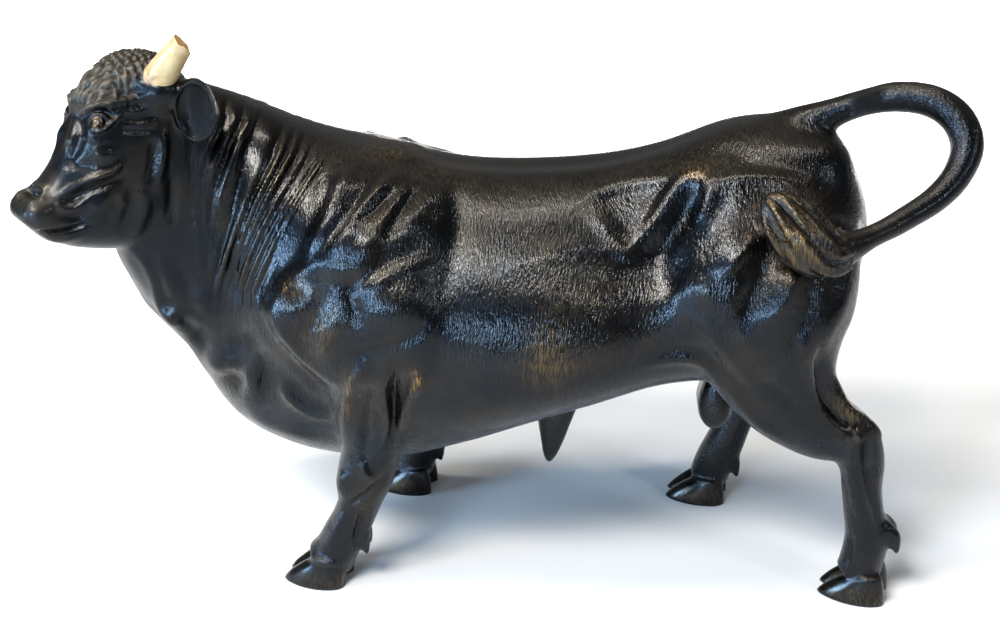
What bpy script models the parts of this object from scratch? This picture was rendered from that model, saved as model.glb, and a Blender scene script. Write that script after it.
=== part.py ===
"""A cast bronze bull with bone horns, standing with its head turned to its left.

The bull looks along -X and its left side faces -Y. The figure is modelled like clay:
lofted limbs and rounded masses are fused into one skin, the skin is relaxed, and then
muscles, folds and locks are raised from it or pressed into it. Forms that show on the
left side are placed by their pixels in the reference view and mirrored to the right.
"""

import math

import bmesh
import bpy
import numpy as np
from mathutils import Matrix, Vector

# Driving dimensions, in metres.
LENGTH = 0.364
HORN_BASE_RADIUS = 0.0063
HORN_TIP_RADIUS = 0.0041
HORN_LENGTH = 0.0185
HORN_STUMP_LENGTH = 0.0022
HORN_PEG_DEPTH = 0.006
BREAK_SLANT = 0.6
BREAK_TOP = 0.3
SOCKET_CLEARANCE = 0.0003

# The figure's pose and carving are shares of its length, and one share is this long.
SHARE = LENGTH / 364.0

# Fineness of the fused skin, in shares, and the triangles kept in the cast body.
SKIN_STEP = 1.4
RELAX_ROUNDS = 26
SOFTEN_ROUNDS = 4
BODY_TRIANGLES = 9000
NECK_FOLDS = 9.5
FOLD_ROUNDS = 1
CURL_SIZE = 5.2

# How far a surface faces the reference view where carving starts and where it is whole.
FACING = (0.05, 0.35)
CHEST_FACING = (0.0, 0.25)

# The reference view: its size and focal length in pixels, its place in shares.
VIEW_WIDTH = 1000
VIEW_HEIGHT = 638
VIEW_FOCAL = 1490
VIEW_DISTANCE = 620
VIEW_AZIMUTH = math.radians(3.5)
VIEW_ELEVATION = math.radians(22)
VIEW_TARGET = np.array([0.0, 0.0, 103.0])

HEAD_TURN = math.radians(39)
HEAD_PIVOT = np.array([-115.0, -12.0, 0.0])
HEAD_FORWARD = np.array([-math.cos(HEAD_TURN), -math.sin(HEAD_TURN), 0.0])
HEAD_LEFT = np.array([math.sin(HEAD_TURN), -math.cos(HEAD_TURN), 0.0])
UP = np.array([0.0, 0.0, 1.0])

# Ears in the head's frame: ahead and height of the middle, how far aside, and the radii
# through the ear, across it and up it.
EAR_MIDDLE = (14.0, 199.8)
EAR_ASIDE = 24.0
EAR_RADII = (5.0, 8.4, 12.9)

# Horns in the head's frame: ahead, height and aside of the foot, and their direction.
HORN_FOOT = {1: (23.5, 211.8, 15.5), -1: (21.5, 209.5, 17.0)}
HORN_LEAN = {1: (-0.3, 0.8, 0.52), -1: (-0.2, 0.72, 0.66)}

# Sections of the trunk: top x, top z, bottom x, bottom z, middle y, half width, turn, pear.
TRUNK = [
    (146, 155, 143, 129, 0, 13, 0, 0.0),
    (141.5, 169, 135, 110, 0, 26, 0, -0.1),
    (132, 184, 123, 96, 0, 36, 0, -0.2),
    (113, 191.5, 108, 88, 0, 42, 0, -0.25),
    (90, 189, 90, 87, 0, 46, 0, -0.25),
    (66, 180, 66, 84, 0, 46, 0, -0.3),
    (42, 174, 42, 77, 0, 51, 0, -0.28),
    (14, 171, 14, 68, 0, 55, 0, -0.25),
    (-14, 171, -12, 57, 0, 55, 0, -0.2),
    (-38, 174.5, -40, 46.5, 0, 50, 0, -0.1),
    (-60, 179.5, -70, 46, 0, 44, 0, 0.02),
    (-78, 185.5, -103, 57, -1, 39, 0.08, 0.12),
    (-94, 193.2, -122, 80.5, -5, 33, 0.25, 0.12),
    (-107, 200, -136, 103, -12, 27, 0.45, 0.05),
    (-117, 205, -145.5, 123.5, -19, 22.5, 0.6, 0.0),
    (-125, 207, -149.5, 140, -26, 18, 0.68, 0.0),
    (-134, 203, -148, 158, -32, 12, 0.68, 0.0),
]

# Sections of the head: ahead and height of the top, then of the bottom, half width, pear.
HEAD = [
    (8, 209, 24, 149, 18.0, 0.0),
    (21, 217, 35, 145, 18.5, 0.0),
    (36, 217.5, 43, 145, 17.5, 0.0),
    (48, 209, 50, 146.5, 16.5, -0.03),
    (53.5, 196.5, 55.5, 148, 14.5, -0.1),
    (58.3, 187, 60, 149.5, 12.2, -0.15),
    (64.2, 179.6, 64, 151.5, 11.4, -0.1),
    (70, 172.8, 68.5, 153.5, 11.8, -0.05),
    (75.5, 168.8, 72, 157, 11.6, 0.0),
    (79, 165, 75.5, 161, 8.4, 0.0),
]

# Limbs: x, y, z, fore-and-aft radius, sideways radius.
LEFT_FORELEG = [
    (-55, -28, 132, 26, 14),
    (-52, -34, 107, 22, 15),
    (-46.5, -38, 89, 18, 13.5),
    (-47.5, -39, 75, 15.4, 12),
    (-49.5, -39.5, 61, 11.8, 10.5),
    (-52.5, -40, 48.5, 11.6, 10.6),
    (-54.5, -40, 39.5, 9.2, 8.8),
    (-58, -39.5, 30, 8.8, 8.4),
    (-62, -39, 22, 9.2, 9.0),
    (-66, -38.5, 14, 9.4, 9.4),
    (-69, -38, 9, 11, 9),
]
RIGHT_FORELEG = [
    (-50, 28, 132, 26, 14),
    (-44, 34, 107, 22, 15),
    (-36.5, 38, 89, 17, 13.5),
    (-35.5, 40, 75, 14, 12),
    (-35, 42, 61, 11.5, 10.5),
    (-35.5, 43.5, 49, 10.8, 10.4),
    (-36, 44, 40, 8.6, 8.8),
    (-37, 44.5, 30, 8.2, 8.4),
    (-39, 44.5, 22, 8.8, 8.8),
    (-42, 45.2, 14, 9.2, 9),
    (-44, 45.5, 9, 9.4, 9),
]
LEFT_HINDLEG = [
    (108.5, -24, 157, 31.5, 16),
    (106.5, -33, 130, 32, 17),
    (107, -37, 110, 27.5, 16),
    (114, -39, 92, 21.5, 14),
    (127, -39.5, 79, 16, 11),
    (141, -39.5, 71.5, 12, 9.2),
    (146, -39.5, 61.5, 9.4, 8.4),
    (147, -39.5, 51, 8.2, 7.8),
    (149, -38.5, 39, 8.2, 7.8),
    (151.5, -37.5, 28, 9, 8.4),
    (151, -36.5, 18, 9, 8.6),
    (149.5, -36, 10, 9, 8),
]
RIGHT_HINDLEG = [
    (98, 24, 157, 31, 16),
    (94, 33, 130, 33, 17),
    (93, 37, 110, 27.5, 16),
    (100, 40, 93, 19, 13.5),
    (110, 41, 81, 13.5, 10.5),
    (117, 41.5, 72, 10.4, 9),
    (113, 41.5, 61, 9, 8.2),
    (109, 41.5, 51, 8.2, 7.8),
    (104, 41.5, 39, 8.2, 7.8),
    (100, 41.5, 28, 9, 8.4),
    (96, 42.5, 18, 9, 8.6),
    (94, 43.5, 10, 9, 8),
]
TAIL = [
    (104, 0, 182, 9, 12),
    (117, 0, 187.5, 8, 9),
    (129, -0.5, 192.5, 6.4, 6.6),
    (141, -1.5, 197.3, 5.9, 5.9),
    (153, -4, 200.3, 6.0, 6.0),
    (165.5, -7.5, 199.5, 6.3, 6.3),
    (174.5, -12, 194, 6.5, 6.5),
    (178, -17.5, 185, 6.4, 6.4),
    (174, -23.5, 175.3, 5.7, 5.7),
    (166, -29.5, 168, 5.2, 5.2),
    (155, -36, 162.6, 4.7, 4.7),
    (143, -42.5, 158, 4.6, 4.6),
    (131, -48.5, 154, 5.0, 5.0),
    (123, -52.5, 153.5, 6.4, 6.4),
    (116, -54.5, 158, 8.8, 7.4),
    (109, -54.5, 165, 8.6, 7.0),
    (103, -53.5, 171, 5.8, 5.2),
    (99.5, -52.5, 173.5, 2.5, 2.5),
]
SHEATH = [
    (25, 0, 72, 11, 9),
    (23.5, 0, 60, 8, 7.5),
    (22.5, 0, 49, 5.4, 5),
    (21.5, 0, 41, 3.2, 3),
    (21, 0, 37, 1.4, 1.4),
]

# Hooves: x, y, degrees turned to the left.
HOOVES = [(-74, -37, -9), (-46.5, 45.5, -8), (148.5, -35.5, -15), (89, 44, -9)]

# Dewclaws: the place on the back of each fetlock.
DEWCLAWS = [(-54.5, -39, 22), (-32, 45, 22.5), (161, -37.5, 29), (104, 42.5, 20.5)]

# Rounded masses of muscle, fat and bone: x, y, z, three radii, height; mirrored in y.
MASSES = [
    (-52, 34, 152, 24, 26, 24, 7.5),
    (-60, 44, 122, 24, 26, 26, 8.5),
    (-82, 40, 116, 13, 18, 17, 7.0),
    (-38, 46, 118, 20, 22, 18, 6.0),
    (-48, 44, 90, 16, 16, 20, 3.0),
    (-98, 18, 78, 20, 20, 22, 2.5),
    (-76, 22, 60, 20, 16, 14, 2.5),
    (74, 40, 176, 12, 14, 9, 7.0),
    (90, 42, 134, 26, 26, 28, 8.0),
    (120, 32, 134, 18, 26, 30, 3.5),
    (54, 46, 146, 20, 24, 18, -4.0),
    (126, 16, 180, 12, 12, 8, 3.0),
    (118, 11, 186, 12, 7, 8, -1.5),
    (4, 52, 112, 44, 26, 34, 3.0),
    (24, 0, 176, 60, 9, 20, -1.2),
    (147, 0, 122, 16, 8, 36, -3.5),
    (-108, 18, 165, 14, 20, 26, 2.0),
    (-133, 6, 96, 12, 20, 8, -1.7),
    (-115, 8, 72, 16, 16, 12, 1.0),
]

# Plates of muscle and hollows on the left side: their outline in reference pixels, how
# softly its edge falls in pixels, and their height.
PLATES = [
    (
        [
            (392, 152), (366, 156), (346, 168), (335, 186), (329, 206), (314, 234),
            (304, 254), (292, 274), (276, 290), (268, 312), (276, 340), (306, 366),
            (340, 386), (396, 380), (424, 366), (436, 330), (440, 292), (447, 252),
            (452, 216), (448, 190), (434, 170), (414, 156),
        ],
        10,
        2.3,
    ),
    (
        [(594, 202), (612, 192), (640, 186), (668, 187), (656, 206), (643, 226), (626, 243), (611, 226)],
        11,
        -1.1,
    ),
    (
        [
            (700, 176), (750, 174), (806, 184), (842, 220), (856, 270), (848, 320),
            (812, 356), (760, 372), (716, 352), (690, 316), (686, 276), (704, 240), (702, 204),
        ],
        18,
        2.2,
    ),
]

# Rounded knobs and hollows on the left side: place, two radii, degrees turned, height.
KNOBS = [
    ((290, 310), (19, 23), 0, 3.0),
    ((331, 334), (12, 22), 8, 2.2),
    ((396, 301), (30, 27), -25, 2.8),
    ((358, 246), (34, 19), -35, 2.2),
    ((420, 234), (22, 20), -35, 1.2),
    ((664, 270), (20, 26), 0, -1.8),
    ((704, 290), (12, 14), 0, 1.1),
    ((684, 294), (8, 12), 0, 0.8),
    ((726, 250), (28, 17), -45, 1.3),
    ((750, 341), (14, 10), 20, 1.1),
    ((372, 386), (18, 20), 0, 1.4),
]
CHEST_KNOBS = [
    ((176, 314), (11, 10), 0, 3.2),
    ((198, 336), (9, 8), 0, -1.6),
    ((222, 359), (14, 12), 30, 3.2),
    ((250, 378), (9, 20), 12, 2.8),
    ((240, 344), (10, 12), 0, -1.8),
    ((200, 299), (8, 14), -35, 1.6),
    ((275, 372), (12, 24), 20, -1.4),
    ((300, 400), (24, 12), 20, 1.4),
]

# Lines carved on the left side: reference pixels, width in pixels and height.
SHOULDER_LINES = [
    ([(345, 152), (370, 144), (396, 147), (416, 161), (440, 172), (470, 183)], 7, 1.2),
    ([(390, 153), (368, 159), (351, 169), (342, 182), (337, 196)], 6.5, 2.0),
    ([(338, 192), (332, 210), (321, 232), (311, 252)], 7, 2.0),
    ([(392, 164), (376, 176), (363, 191), (351, 210), (338, 230), (322, 250)], 4.2, -1.9),
    ([(410, 162), (390, 178), (372, 197), (356, 217), (340, 239), (326, 257)], 7, 1.8),
    ([(391, 190), (378, 204), (366, 215), (356, 223)], 2.9, -2.4),
    ([(406, 194), (391, 214), (376, 235), (360, 258)], 6.5, 1.8),
    ([(417, 187), (404, 205), (392, 223), (381, 240)], 3.0, -2.8),
    ([(432, 194), (417, 214), (404, 234), (393, 252)], 8, 1.4),
    ([(419, 172), (428, 175), (438, 181)], 3.6, -2.2),
    ([(457, 190), (453, 220), (447, 252), (437, 290), (420, 326)], 14, -1.8),
    ([(436, 251), (418, 262), (398, 271), (379, 282), (366, 291)], 5.5, 1.6),
    ([(314, 266), (299, 275), (284, 287), (273, 300)], 6, 1.4),
    ([(310, 262), (330, 268), (350, 272), (366, 264), (378, 252)], 7, 1.0),
    ([(352, 276), (350, 292), (355, 312), (358, 330)], 6, -2.2),
    ([(320, 290), (317, 312), (308, 334)], 5.5, -1.8),
    ([(345, 354), (372, 351), (402, 341), (424, 328)], 7, -1.6),
    ([(267, 304), (274, 324), (289, 345), (309, 364), (325, 378), (340, 388)], 3.6, 1.5),
    ([(261, 310), (267, 331), (282, 352), (302, 371), (322, 387)], 5, -1.6),
]
FLANK_LINES = [
    ([(578, 202), (600, 191), (625, 183), (655, 179), (686, 174)], 8, 1.1),
    ([(706, 167), (688, 178), (673, 194), (660, 215), (646, 233), (624, 254)], 8.5, 2.6),
    ([(588, 204), (602, 221), (614, 237), (625, 252)], 8, 1.2),
    ([(702, 186), (688, 206), (675, 228), (662, 250), (646, 266)], 9, -2.8),
    ([(710, 176), (706, 198), (700, 222)], 8, 1.8),
    ([(716, 196), (719, 218), (710, 244), (696, 262)], 9, -1.5),
    ([(640, 257), (610, 250), (580, 248), (545, 256), (510, 266)], 9, 1.7),
    ([(650, 276), (610, 276), (560, 286)], 14, -1.2),
    ([(714, 180), (744, 178), (776, 179), (806, 184)], 7, 1.5),
    ([(700, 156), (722, 151), (742, 152)], 8, -0.8),
    ([(758, 236), (747, 248), (736, 261), (722, 277)], 6, 1.8),
    ([(768, 248), (763, 272), (753, 296), (742, 320)], 11, -3.0),
    ([(794, 260), (789, 286), (780, 308), (765, 331)], 8, 2.8),
    ([(812, 274), (808, 304), (800, 330), (792, 356)], 9, -2.0),
    ([(850, 278), (840, 308), (824, 338), (811, 370)], 8, 1.4),
    ([(688, 316), (712, 334), (730, 358), (756, 388)], 6, 1.4),
    ([(644, 365), (676, 359), (700, 362), (718, 378), (730, 397)], 4, 1.8),
    ([(648, 353), (680, 349), (706, 354), (726, 376)], 6, -1.2),
]
BRISKET_LINES = [
    ([(130, 247), (144, 260), (154, 280), (161, 304), (176, 324), (192, 334)], 4.5, 2.4),
    ([(146, 257), (157, 280), (165, 304)], 4.5, -2.6),
    ([(158, 256), (168, 280), (175, 300)], 6, 1.6),
    ([(178, 262), (186, 284), (192, 300)], 5, -1.4),
    ([(181, 317), (192, 330), (203, 346), (206, 356)], 5.5, -2.6),
    ([(208, 346), (210, 360), (222, 373)], 5, 1.2),
    ([(222, 377), (236, 379), (244, 394)], 5.5, -2.0),
    ([(262, 352), (266, 374), (262, 398)], 5, -1.8),
    ([(246, 404), (262, 420), (286, 430), (310, 438)], 6, 1.2),
    ([(233, 246), (234, 272), (238, 300)], 4, -2.0),
    ([(283, 378), (285, 391), (299, 406), (317, 416), (337, 420)], 4, 2.0),
    ([(294, 376), (296, 390), (310, 402), (334, 407)], 6, -1.4),
    ([(292, 426), (312, 428), (334, 424)], 6, -1.4),
]
HIND_LEG_LINES = [
    ([(822, 346), (820, 372), (824, 396), (836, 414), (852, 428)], 5, -2.6),
    ([(834, 372), (840, 396), (852, 412), (870, 422)], 4.5, 1.8),
    ([(866, 424), (876, 430), (884, 438)], 5, 1.4),
    ([(862, 436), (866, 446), (866, 470), (872, 500), (880, 530)], 4.5, -1.8),
    ([(856, 434), (860, 440), (868, 438)], 4, 1.4),
    ([(848, 440), (850, 470), (856, 500), (862, 524)], 5, 1.0),
    ([(722, 374), (738, 400), (760, 424), (790, 444)], 6, 1.6),
    ([(800, 330), (804, 362), (814, 392)], 7, 1.6),
    ([(760, 380), (784, 398), (806, 420)], 8, -1.2),
    ([(852, 536), (850, 552), (846, 566)], 3, -1.2),
]
FORE_LEG_LINES = [
    ([(364, 366), (352, 384), (346, 410), (344, 440)], 6, 1.8),
    ([(372, 384), (366, 410), (364, 440), (366, 464)], 5, -1.8),
    ([(386, 366), (382, 392), (386, 420), (388, 448)], 5.5, 1.4),
    ([(398, 366), (394, 396), (394, 424), (386, 456)], 4.5, -2.0),
    ([(416, 372), (410, 396), (400, 424), (392, 456)], 5, 2.0),
    ([(414, 368), (419, 382), (414, 396)], 5, 1.4),
    ([(346, 470), (342, 484), (344, 500)], 7, 1.8),
    ([(348, 504), (358, 500), (372, 490), (386, 474)], 4, -1.6),
    ([(360, 462), (366, 474), (374, 482)], 5, 1.4),
    ([(364, 508), (358, 528), (354, 548)], 3.5, -1.8),
    ([(372, 506), (368, 526), (364, 546)], 3.5, 1.0),
    ([(344, 512), (336, 530), (326, 546)], 5, 1.2),
    ([(312, 556), (322, 562), (340, 564)], 4, 1.4),
]
FACE_LINES = [
    ([(76, 116), (74, 132), (70, 150)], 3.5, 0.9),
    ([(81, 112), (79, 123), (82, 136)], 3.4, -1.5),
    ([(80, 112), (85, 109), (98, 105.5), (113, 103.5), (127, 101), (146, 96)], 3, 1.7),
    ([(84, 118), (89, 112), (98, 109.5), (107, 112), (114, 118)], 2.2, -1.6),
    ([(80, 107), (90, 99), (106, 97), (122, 95), (138, 91)], 3.6, -0.8),
    ([(85, 121), (90, 116), (97, 113.8), (105, 116), (110, 121)], 1.8, 1.3),
    ([(87, 125), (92, 130.5), (99, 131.5), (106, 128), (114, 121), (122, 115)], 2.0, 1.5),
    ([(88, 131), (97, 137), (108, 134), (118, 126)], 3.0, -1.0),
    ([(120, 110), (134, 112), (152, 108)], 2.6, 0.9),
    ([(124, 117), (138, 119), (154, 116)], 2.6, -0.8),
    ([(124, 124), (140, 125), (156, 121)], 2.6, 0.8),
    ([(122, 131), (138, 131), (154, 130)], 2.6, -0.7),
    ([(61, 196), (74, 187), (88, 180), (102, 175), (114, 171), (122, 164)], 3.2, 1.9),
    ([(66, 203), (84, 193), (104, 186), (122, 177)], 4.4, -1.5),
    ([(92, 150), (104, 156), (112, 150)], 6, 0.9),
    ([(70, 164), (84, 166), (96, 164)], 6, -0.8),
    ([(54, 203), (64, 208), (76, 208), (86, 202)], 4.6, 1.5),
    ([(58, 216), (74, 217), (90, 210)], 5, -0.9),
    ([(90, 212), (102, 204), (114, 194)], 5, 0.7),
    ([(104, 222), (114, 212), (124, 200)], 5, -0.8),
    ([(122, 190), (120, 206), (112, 224)], 5, 0.7),
    ([(134, 182), (132, 204), (124, 226)], 6, -0.7),
    ([(146, 190), (144, 212), (134, 236)], 6, 0.9),
    ([(163, 132), (163, 154), (158, 182)], 5, 1.44),
    ([(154, 138), (153, 160), (147, 186)], 5.5, -1.04),
    ([(172, 176), (172, 200), (170, 226)], 5.5, -0.96),
    ([(84, 130), (78, 146), (68, 164)], 5, -1.12),
    ([(72, 130), (70, 146), (60, 166)], 4.4, 0.96),
    ([(38, 232), (46, 232.5), (60, 231), (76, 227.5), (93, 223)], 2.1, -1.92),
    ([(44, 238), (62, 239), (84, 234)], 4.4, 0.96),
]


def smooth_path(stations, steps):
    """Rows of numbers read from a smooth curve through the given rows."""
    rows = np.array(stations, float)
    padded = np.vstack([2 * rows[0] - rows[1], rows, 2 * rows[-1] - rows[-2]])
    out = []
    for i in range(len(rows) - 1):
        a, b, c, d = padded[i : i + 4]
        for t in np.linspace(0, 1, steps, endpoint=False):
            bend = (2 * a - 5 * b + 4 * c - d) * t**2
            out.append(0.5 * (2 * b + (c - a) * t + bend + (3 * b - a - 3 * c + d) * t**3))
    out.append(rows[-1])
    return np.array(out)


def signed_power(value, power):
    return np.sign(value) * np.abs(value) ** power


def fade(value, low, high):
    """Rises smoothly from 0 at low to 1 at high; low may be the larger one."""
    t = np.clip((value - low) / (high - low), 0, 1)
    return t * t * (3 - 2 * t)


def head_point(ahead, height, left=0.0):
    """A point given in the head's own frame."""
    return HEAD_PIVOT + ahead * HEAD_FORWARD + left * HEAD_LEFT + height * UP


def view_place():
    """The reference view's eye, its right and up directions, and its way in."""
    back = np.array(
        [
            math.sin(VIEW_AZIMUTH) * math.cos(VIEW_ELEVATION),
            -math.cos(VIEW_AZIMUTH) * math.cos(VIEW_ELEVATION),
            math.sin(VIEW_ELEVATION),
        ]
    )
    right = np.cross(-back, UP)
    right /= np.linalg.norm(right)
    return VIEW_TARGET + back * VIEW_DISTANCE, right, np.cross(right, -back), -back


def reference_pixels(points):
    eye, right, up, ahead = view_place()
    away = points - eye
    depth = away @ ahead
    across = VIEW_WIDTH / 2 + VIEW_FOCAL * (away @ right) / depth
    down = VIEW_HEIGHT / 2 - VIEW_FOCAL * (away @ up) / depth
    return np.stack([across, down], axis=1)


class Clay:
    """Closed shapes collected in one bmesh, in shares, to be fused into one skin."""

    def __init__(self):
        self.mesh = bmesh.new()

    def skin(self, rings):
        """A closed tube through rings of points, with a fan at each end."""
        loops = [[self.mesh.verts.new(p) for p in ring] for ring in rings]
        count = len(loops[0])
        for low, high in zip(loops, loops[1:]):
            for i in range(count):
                j = (i + 1) % count
                self.mesh.faces.new((low[i], low[j], high[j], high[i]))
        for loop, turn in ((loops[0], -1), (loops[-1], 1)):
            middle = self.mesh.verts.new(np.mean([v.co for v in loop], axis=0))
            for i in range(count):
                ends = (loop[i], loop[(i + 1) % count])
                self.mesh.faces.new((*ends[::turn], middle))

    def trunk(self, stations, steps=6, count=44, square=0.86):
        """Upright sections, each turned a little about the vertical."""
        angles = np.linspace(0, 2 * math.pi, count, endpoint=False)
        rise = signed_power(np.cos(angles), square)
        side = signed_power(np.sin(angles), square)
        rings = []
        for tx, tz, bx, bz, y, half, turn, pear in smooth_path(stations, steps):
            middle = np.array([(tx + bx) / 2, y, (tz + bz) / 2])
            lean = (tx - bx) / 2
            up = np.array([lean * math.cos(turn), lean * math.sin(turn), (tz - bz) / 2])
            left = np.array([math.sin(turn), -math.cos(turn), 0.0])
            width = half * side * (1 + pear * rise)
            rings.append(middle + np.outer(rise, up) + np.outer(width, left))
        self.skin(rings)

    def head(self, stations, steps=6, count=44, square=0.86):
        """Sections of the head across its forward direction."""
        angles = np.linspace(0, 2 * math.pi, count, endpoint=False)
        rise = signed_power(np.cos(angles), square)
        side = signed_power(np.sin(angles), square)
        rings = []
        for ta, tz, ba, bz, half, pear in smooth_path(stations, steps):
            ahead = (ta + ba) / 2 + rise * (ta - ba) / 2
            height = (tz + bz) / 2 + rise * (tz - bz) / 2
            width = half * side * (1 + pear * rise)
            flat = HEAD_PIVOT + np.outer(ahead, HEAD_FORWARD)
            rings.append(flat + np.outer(height, UP) + np.outer(width, HEAD_LEFT))
        self.skin(rings)

    def limb(self, stations, steps=5, count=24):
        """A tube with oval sections across its run."""
        path = smooth_path(stations, steps)
        points = path[:, :3]
        along = np.gradient(points, axis=0)
        angles = np.linspace(0, 2 * math.pi, count, endpoint=False)
        rings = []
        for point, run, (fore, side) in zip(points, along, path[:, 3:]):
            run = run / np.linalg.norm(run)
            across = np.array([0.0, 1.0, 0.0]) - run[1] * run
            across /= np.linalg.norm(across)
            ahead = np.cross(across, run)
            oval = np.outer(np.cos(angles) * fore, ahead) + np.outer(np.sin(angles) * side, across)
            rings.append(point + oval)
        self.skin(rings)

    def ball(self, centre, radii, pitch=0.0, turn=0.0):
        """An ellipsoid, pitched about Y and then turned about Z, in degrees."""
        place = (
            Matrix.Translation(Vector(centre))
            @ Matrix.Rotation(math.radians(turn), 4, "Z")
            @ Matrix.Rotation(math.radians(pitch), 4, "Y")
            @ Matrix.Diagonal((*radii, 1))
        )
        bmesh.ops.create_uvsphere(self.mesh, u_segments=32, v_segments=20, radius=1, matrix=place)

    def hoof(self, x, y, turn):
        """Two claws side by side, flat under the sole and low at the toe."""
        rows = [
            (-3, 0, 14.2, 6.4),
            (0.5, 0, 13.8, 6.3),
            (4, -1.5, 12.2, 5.8),
            (8, -3.5, 9.6, 5.0),
            (12, -6, 6.0, 4.0),
        ]
        angles = np.linspace(0, 2 * math.pi, 28, endpoint=False)
        for side in (-1, 1):
            spread = math.radians(turn - side * 6)
            rings = []
            for z, ahead, long, wide in rows:
                reach = signed_power(np.cos(angles), 0.9) * long + ahead
                taper = 1 - 0.22 * np.clip(np.cos(angles), 0, 1)
                across = -side * 5.4 + np.sin(angles) * wide * taper
                px = x - reach * math.cos(spread) - across * math.sin(spread)
                py = y - reach * math.sin(spread) + across * math.cos(spread)
                rings.append(np.stack([px, py, np.full_like(px, z)], axis=1))
            self.skin(rings)

    def dewclaws(self, x, y, z):
        for side in (-1, 1):
            rows = [(-4, 0, 4, 4.2), (0, 0.6, 0, 3.8), (1.6, 1.0, -4, 2.6), (2.4, 1.4, -8, 1.2)]
            self.limb([(x + a, y + side * (3.4 + b), z + c, r, r * 0.8) for a, b, c, r in rows])

    def fused(self, step):
        """The outer skin of everything collected, as points and quads in shares."""
        data = bpy.data.meshes.new("clay")
        bmesh.ops.recalc_face_normals(self.mesh, faces=self.mesh.faces)
        self.mesh.to_mesh(data)
        self.mesh.free()
        obj = bpy.data.objects.new("clay", data)
        bpy.context.scene.collection.objects.link(obj)
        remesh = obj.modifiers.new("fuse", "REMESH")
        remesh.mode = "VOXEL"
        remesh.voxel_size = step
        skin = evaluated_mesh(obj)
        bpy.data.objects.remove(obj)
        return skin


def evaluated_mesh(obj):
    graph = bpy.context.evaluated_depsgraph_get()
    return bpy.data.meshes.new_from_object(obj.evaluated_get(graph))


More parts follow.
